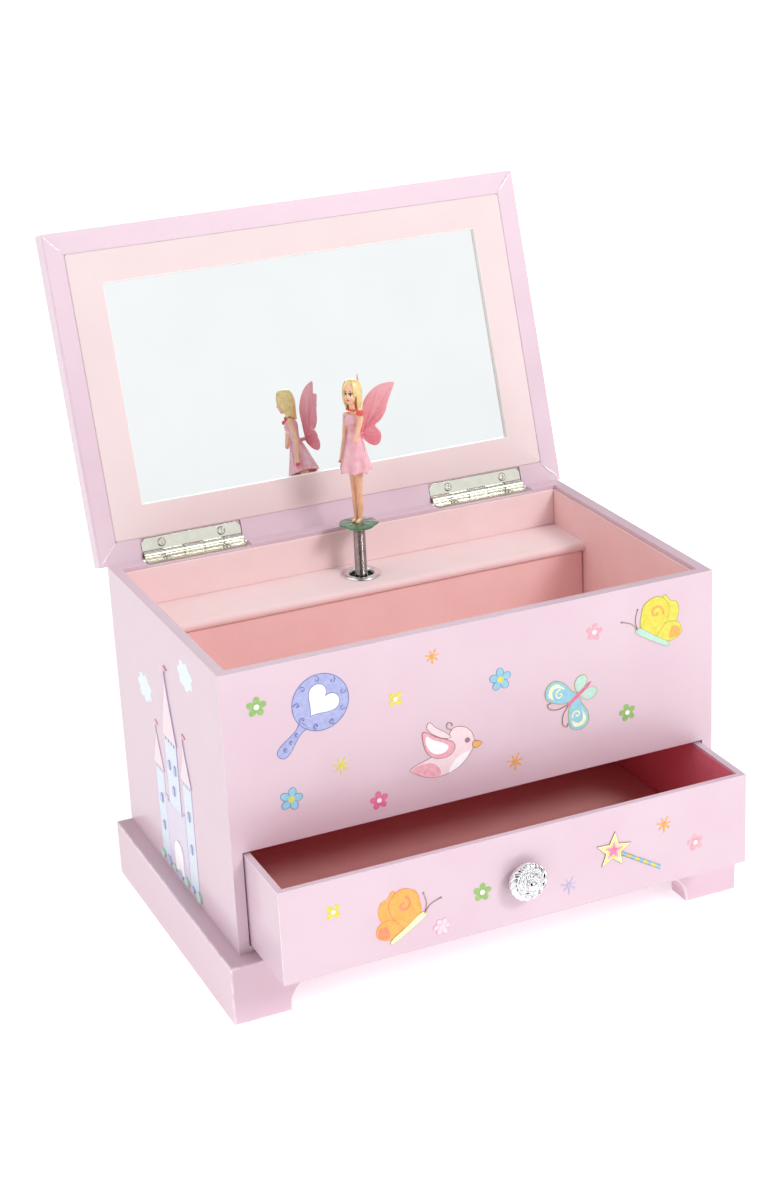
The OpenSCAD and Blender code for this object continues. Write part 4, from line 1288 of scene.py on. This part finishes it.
def butterfly(print_):
    """An open butterfly, head up: large forewings with a cream curl, small hind wings."""
    fore = [(0.6, 0.2), (3.6, 0.6), (8.2, 1.0), (11.4, 3.4), (11.2, 7.0), (8.4, 9.2), (4.6, 8.0), (1.0, 4.6)]
    hind = [(0.4, -0.8), (3.8, -1.4), (5.4, -4.0), (4.2, -6.6), (2.0, -6.2), (0.6, -3.6)]
    band = [(5.6, 2.0), (9.4, 2.8), (10.4, 5.4), (8.6, 8.0), (6.0, 7.4), (8.4, 6.4), (8.8, 4.4), (7.4, 3.0)]
    body = [(0, 5.2), (0.75, 3.6), (0.7, -3.6), (0.2, -6.8), (-0.5, -3.6), (-0.7, 3.6)]
    feeler = [(0.3, 5.0), (1.6, 8.4), (4.2, 10.6), (6.2, 10.2), (5.6, 9.0)]
    for side in (-1, 1):
        fore_edge = spline(mirrored(side, fore), 6)
        hind_edge = spline(mirrored(side, hind), 5)
        print_.fill(hind_edge, "mint")
        print_.line(hind_edge, 0.2, "olive", True)
        print_.fill(fore_edge, "blue")
        print_.fill(spline(mirrored(side, band), 5), "cream")
        print_.line(curl((side * 5.6, 4.6), 0.6, 0.26, 7.4, 0.4, -side), 0.55, "cream")
        print_.line(fore_edge, 0.24, "olive", True)
    print_.fill(spline(body, 4), "magenta")
    print_.line([(0, 4.8), (0, -6.2)], 0.16, "brown")
    for side in (-1, 1):
        print_.line(spline(mirrored(side, feeler), 5, False), 0.18, "brown")


def side_wing(print_, main, accent, lobe, belly, edge, facing):
    """A resting butterfly from the side: folded wings with a curl, over a slanting body."""
    back = [(-5, 15.5), (-7.5, 13), (-10, 12), (-11, 8.5), (-9.5, 4.5), (-4.5, 3), (-1.5, 9)]
    low = [(-1, 1), (-5.5, 4.5), (-9.5, 4.5), (-11.5, 3), (-12, 0), (-10, -2), (-6, -2.5)]
    tip = [(-8, 2.5), (-10.5, 2.5), (-11.5, 0), (-10, -1.5), (-7, -1.5)]
    fore = [(4.5, 4.5), (4.5, 9.5), (3, 13.5), (-1.5, 15.5), (-5, 14), (-7, 10.5), (-6, 6), (-3, 2),
            (-1, 0.5)]
    body = [(6.5, 4.5), (6.5, 3), (0.5, -1), (-6, -4.5), (-6.5, -3), (-0.5, 1), (4.5, 4.5)]
    for points, colour, per, edged in ((back, main, 6, True), (low, main, 6, True), (tip, lobe, 5, False),
                                       (fore, main, 6, True)):
        shape = spline(mirrored(facing, points), per)
        print_.fill(shape, colour)
        if edged:
            print_.line(shape, 0.22, edge, True)
    print_.line(curl((facing * -1.6, 9.4), 0.5, 0.42, 7.2, 0.5, facing), 0.9, accent)
    belly_edge = spline(mirrored(facing, body), 4)
    print_.fill(belly_edge, belly)
    print_.line(belly_edge, 0.14, "olive", True)
    for feeler in ([(6, 4), (7, 8), (6, 12)], [(6, 4), (8.5, 7), (12.5, 8.5)]):
        path = spline(mirrored(facing, feeler), 5, False)
        print_.line(path, 0.16, "brown")
        print_.fill(disc(0.3, path[-1], 12), "brown")


def wand(print_):
    """A star on a striped stick."""
    def star(reach, dip):
        turns = [math.pi * k / 5 + 0.1 for k in range(10)]
        reaches = [reach, dip] * 5
        return [(r * math.sin(t), r * math.cos(t)) for r, t in zip(reaches, turns)]

    slope = -0.61
    stripe = 1.68
    for k in range(10):
        near = 2.0 + stripe * k
        far = near + stripe
        print_.line([(near, slope * near), (far, slope * far)], 1.5, "blue" if k % 2 else "yellow")
    print_.line([(2, -1.9), (18.8, -12.2)], 0.16, "slate")
    print_.line([(2, -0.5), (18.8, -10.7)], 0.16, "slate")
    print_.fill(star(7.2, 3.1), "cream")
    print_.line(star(7.2, 3.1), 0.2, "brown", True)
    print_.line(star(5.2, 2.2), 0.5, "yellow", True)
    print_.fill(star(3.9, 1.7), "rose")
    print_.fill(star(2.4, 1.1), "magenta")


def cloud(print_):
    """A puffy cloud with seven rounded lobes."""
    shape = []
    for k in range(60):
        angle = TAU * k / 60
        reach = 4.4 + 1.44 * abs(math.sin(3.5 * angle + 0.4))
        shape.append((reach * math.cos(angle), 0.72 * reach * math.sin(angle)))
    print_.fill(shape, "pale")


def castle(print_):
    """A toy castle: a tall keep between two towers, with cone roofs, windows and flags."""
    def block(x0, x1, z0, z1, colour):
        shape = [(x0, z0), (x1, z0), (x1, z1)]
        notches = 9
        step = (x1 - x0) / notches
        for k in range(notches):
            top = z1 + (1.6 if k % 2 == 0 else 0)
            shape += [(x1 - step * k, top), (x1 - step * (k + 1), top)]
        shape.append((x0, z1))
        print_.fill(shape, colour)
        print_.line(shape, 0.28, "lilac", True)

    def cone(x, z, width, tall):
        half, waist = width / 2, width * 0.12
        rise, peak = z + tall * 0.7, z + tall
        shape = [(x - half, z), (x + half, z), (x + waist, rise), (x, peak), (x - waist, rise)]
        print_.fill(shape, "blush")
        print_.line(shape, 0.28, "lilac", True)
        print_.line([(x, peak), (x, peak + 4)], 0.3, "lilac")
        print_.fill([(x, peak + 4), (x + 3.4, peak + 3), (x, peak + 1.9)], "rose")

    def window(x, z, wide, tall, colour):
        shape = [(x - wide, z), (x + wide, z)]
        shape += [(x + wide * math.cos(t), z + tall + wide * math.sin(t))
                  for t in (math.pi * k / 8 for k in range(9))]
        print_.fill(shape, colour)

    ground = -40
    block(-22, -12, ground, -2, "mist")
    block(11, 21, ground, 4, "mist")
    block(-12, 11, ground, -12, "faint")
    block(-7, 7, -12, 16, "mist")
    cone(-17, -0.4, 12, 16)
    cone(16, 5.6, 12, 17)
    cone(0, 17.6, 16, 27)
    window(0, ground, 5, 9, "white")
    for x, z in ((-17, -16), (-17, -28), (16, -10), (16, -24), (-3, 4), (3.4, 4), (0, -6)):
        window(x, z, 1.2, 2.6, "haze")
    for k in range(7):
        bush = disc(2.2 + 0.5 * math.sin(k * 2.3), (-21 + 7 * k, ground - 0.5), 18, 0.8)
        print_.fill(bush, "haze" if k % 2 else "mint")


def prints():
    """Motifs on the front wall, the drawer front and both side walls, placed in millimetres."""
    wall_low = box_mm("body_left")[0]
    faces = {"box": wall_low.y, "drawer": box_mm("drawer_front")[0].y}

    def front(name, body, x, z, turn=0, size=1.0):
        return Print("print_" + name, body, (x, faces[body], z), (1, 0, 0), (0, -1, 0), turn, size)

    flowers = [("green_a", "box", -82.1, 114.2, 4.2, 5, "green", "white", 15, None),
               ("yellow_a", "box", -31.5, 105.7, 3.4, 4, "yellow", "white", 45, None),
               ("blue_a", "box", -72.0, 77.4, 4.8, 5, "blue", "yellow", 5, "slate"),
               ("magenta_a", "box", -39.5, 68.9, 4.0, 5, "magenta", "white", 25, None),
               ("blue_b", "box", 8.8, 104.2, 4.8, 5, "blue", "yellow", 20, "slate"),
               ("pink_a", "box", 46.4, 114.1, 3.8, 5, "rose", "white", 8, None),
               ("green_b", "box", 59.4, 79.9, 3.9, 5, "green", "white", 30, None),
               ("yellow_b", "drawer", -71.2, 48.6, 3.4, 4, "yellow", "white", 45, None),
               ("outline_a", "drawer", -31.5, 32.2, 3.6, 6, "shell", "shell", 0, "rose"),
               ("green_c", "drawer", -15.8, 41.3, 4.0, 5, "green", "white", 12, None),
               ("pink_b", "drawer", 69.3, 38.8, 3.8, 5, "rose", "white", 28, None)]
    stars = [("yellow", "box", -52.9, 85.6, 3.4, "yellow"), ("orange_a", "box", 13.7, 71.2, 3.4, "orange"),
             ("orange_b", "box", -16.9, 118.5, 2.8, "orange"), ("lilac", "drawer", 18.0, 35.0, 3.4, "lilac"),
             ("orange_c", "drawer", 56.5, 49.2, 3.2, "orange")]
    for name, body, x, z, radius, petals, colour, heart, turn, outline in flowers:
        front("flower_" + name, body, x, z, turn).draw(flower, radius, petals, colour, heart, outline)
    for name, body, x, z, radius, colour in stars:
        front("star_" + name, body, x, z).draw(sparkle, radius, 7, colour)
    front("hand_mirror", "box", -59.1, 110.8, -43).draw(hand_mirror)
    front("bird", "box", -13.2, 81.0).draw(bird)
    front("butterfly", "box", 39.2, 91.2, 126, 1.02).draw(butterfly)
    front("side_wing", "box", 70, 107).draw(side_wing, "yellow", "orange", "orange", "mint", "olive", -1)
    front("side_wing", "drawer", -44, 35).draw(side_wing, "orange", "peach", "peach", "cream", "peach", 1)
    front("wand", "drawer", 35.8, 44.2).draw(wand)
    motifs = [("castle", castle, -0.5, 64.5, 0.94), ("cloud_0", cloud, 24.7, 92, 1.35),
              ("cloud_1", cloud, -24.5, 115, 1.35)]
    for side, end in ((-1, "left"), (1, "right")):
        for name, motif, y, z, size in motifs:
            centre = (-side * wall_low.x, y, z)
            Print(f"print_{name}_{end}", "box", centre, (0, side, 0), (side, 0, 0), 0, size).draw(motif)


# ---------- what stays as CAD ----------

def movement():
    """Hidden works keep their CAD shapes and get their metals."""
    finishes = {"brass": ["bedplate", "spring_housing", "spindle_bracket", "drum_brackets", "comb_base",
                          "main_wheel", "spindle_pinion", "drum", "drum_pinion", "drum_gear"],
                "blackened": ["spindle_bush"],
                "steel": ["mainspring", "comb", "comb_screws", "winding_arbor", "spindle", "governor_shaft",
                          "governor_fan", "hinge_pins", "knob_screw"],
                "card_core": ["mirror_card"], "mirror": ["lid_mirror"]}
    for finish, nodes in finishes.items():
        for node in nodes:
            obj = frame["nodes"][node]
            if not obj.material_slots:
                obj.data.materials.append(None)
            for place in obj.material_slots:
                place.material = MATERIALS[finish]


# ---------- studio ----------

def area_light(name, place, target, size, power):
    """A rectangular lamp aimed at target; power is in watts."""
    data = bpy.data.lights.new(name, "AREA")
    data.shape = "RECTANGLE"
    data.size, data.size_y = size
    data.energy = power
    obj = bpy.data.objects.new(name, data)
    obj.location = place
    obj.rotation_mode = "QUATERNION"
    obj.rotation_quaternion = (Vector(target) - Vector(place)).to_track_quat("-Z", "Y")
    bpy.context.scene.collection.objects.link(obj)


def soft_sky(world):
    """White studio sky: one even level, with the brighter and darker patches added on."""
    nodes, link = world.node_tree.nodes, world.node_tree.links.new
    background = nodes["Background"]
    background.inputs["Color"].default_value = (1, 1, 1, 1)
    place = nodes.new("ShaderNodeTexCoord").outputs["Generated"]
    total = None
    for aim, low, high, gain in SKY_PATCHES:
        dot = nodes.new("ShaderNodeVectorMath")
        dot.operation = "DOT_PRODUCT"
        dot.inputs[1].default_value = Vector(aim).normalized()
        link(place, dot.inputs[0])
        spread = nodes.new("ShaderNodeMapRange")
        spread.interpolation_type = "SMOOTHSTEP"
        for socket, number in zip(SPAN_SOCKETS, (low, high, 0, gain)):
            spread.inputs[socket].default_value = number
        link(dot.outputs["Value"], spread.inputs["Value"])
        add = nodes.new("ShaderNodeMath")
        add.operation = "ADD"
        add.inputs[1].default_value = SKY_LEVEL
        if total:
            link(total, add.inputs[1])
        link(spread.outputs["Result"], add.inputs[0])
        total = add.outputs["Value"]
    link(total, background.inputs["Strength"])


# A level for the whole sky, then patches: where each is centred, its edge and middle as
# cosines, and how much it adds
SKY_LEVEL = 0.36
SKY_PATCHES = [((0.1, -0.6, 0.8), -0.1, 1.0, 0.26), ((0.37, -0.9, 0.25), 0.4, 0.97, 0.42),
               ((-1, -0.1, 0.25), 0.0, 0.9, 0.72), ((-0.36, -0.85, 0.37), 0.9, 0.965, -1.1),
               ((-0.41, -0.49, 0.77), 0.9, 0.96, -0.9), ((0.8, -0.5, -0.1), 0.86, 0.95, -0.45),
               ((0, 0, -1), -0.3, -0.1, -0.08)]


def studio():
    """Sky, two lamps and a plain pale floor."""
    scene = bpy.context.scene
    scene.view_settings.view_transform = "Standard"
    world = bpy.data.worlds.new("studio")
    world.use_nodes = True
    soft_sky(world)
    scene.world = world
    centre = (0, 0, 0.09)
    area_light("key", (0.69, -1.3, 1.12), centre, (0.5, 0.36), 11.5)
    area_light("top", (0.1, 0.5, 1.5), centre, (1.2, 1.2), 1.6)
    mesh = bpy.data.meshes.new("floor")
    half = 40
    corners = [(-half, -half, 0), (half, -half, 0), (half, half, 0), (-half, half, 0)]
    mesh.from_pydata(corners, [], [(0, 1, 2, 3)])
    floor = bpy.data.objects.new("floor", mesh)
    scene.collection.objects.link(floor)
    finish = Finish("floor", Roughness=0.6, Specular_IOR_Level=0.2, Emission_Color=(1, 1, 1, 1),
                    Emission_Strength=0.46)
    tone = finish.mix(finish.cloud(300), (252, 252, 252), (254, 254, 254))
    mesh.materials.append(finish.done(tone))


def camera():
    """The viewpoint: left of the front and looking down, with a slight roll."""
    data = bpy.data.cameras.new("camera")
    data.sensor_width = 36
    data.lens = 69.65
    data.dof.use_dof = False
    data.clip_start = 0.05
    data.clip_end = 30
    obj = bpy.data.objects.new("camera", data)
    azimuth, elevation, roll = math.radians(-23.091), math.radians(21.579), math.radians(-2.884)
    level = math.cos(elevation)
    forward = Vector((-math.sin(azimuth) * level, math.cos(azimuth) * level, -math.sin(elevation)))
    rolled = Matrix.Rotation(roll, 3, "Z").to_quaternion()
    obj.location = (-0.3165, -0.7278, 0.43045)
    obj.rotation_mode = "QUATERNION"
    obj.rotation_quaternion = forward.to_track_quat("-Z", "Y") @ rolled
    bpy.context.scene.collection.objects.link(obj)
    bpy.context.scene.camera = obj


camera()
studio()
boards()
linings()
drawer_pockets()
ledge()
lid_mat()
lid_folds()
small_metal()
eyelet()
figure_spring()
drawer_knob()
leaf_base()
face_paint(fairy_skin())
fairy_dress()
fairy_hair()
fairy_wings()
fairy_flowers()
prints()
movement()
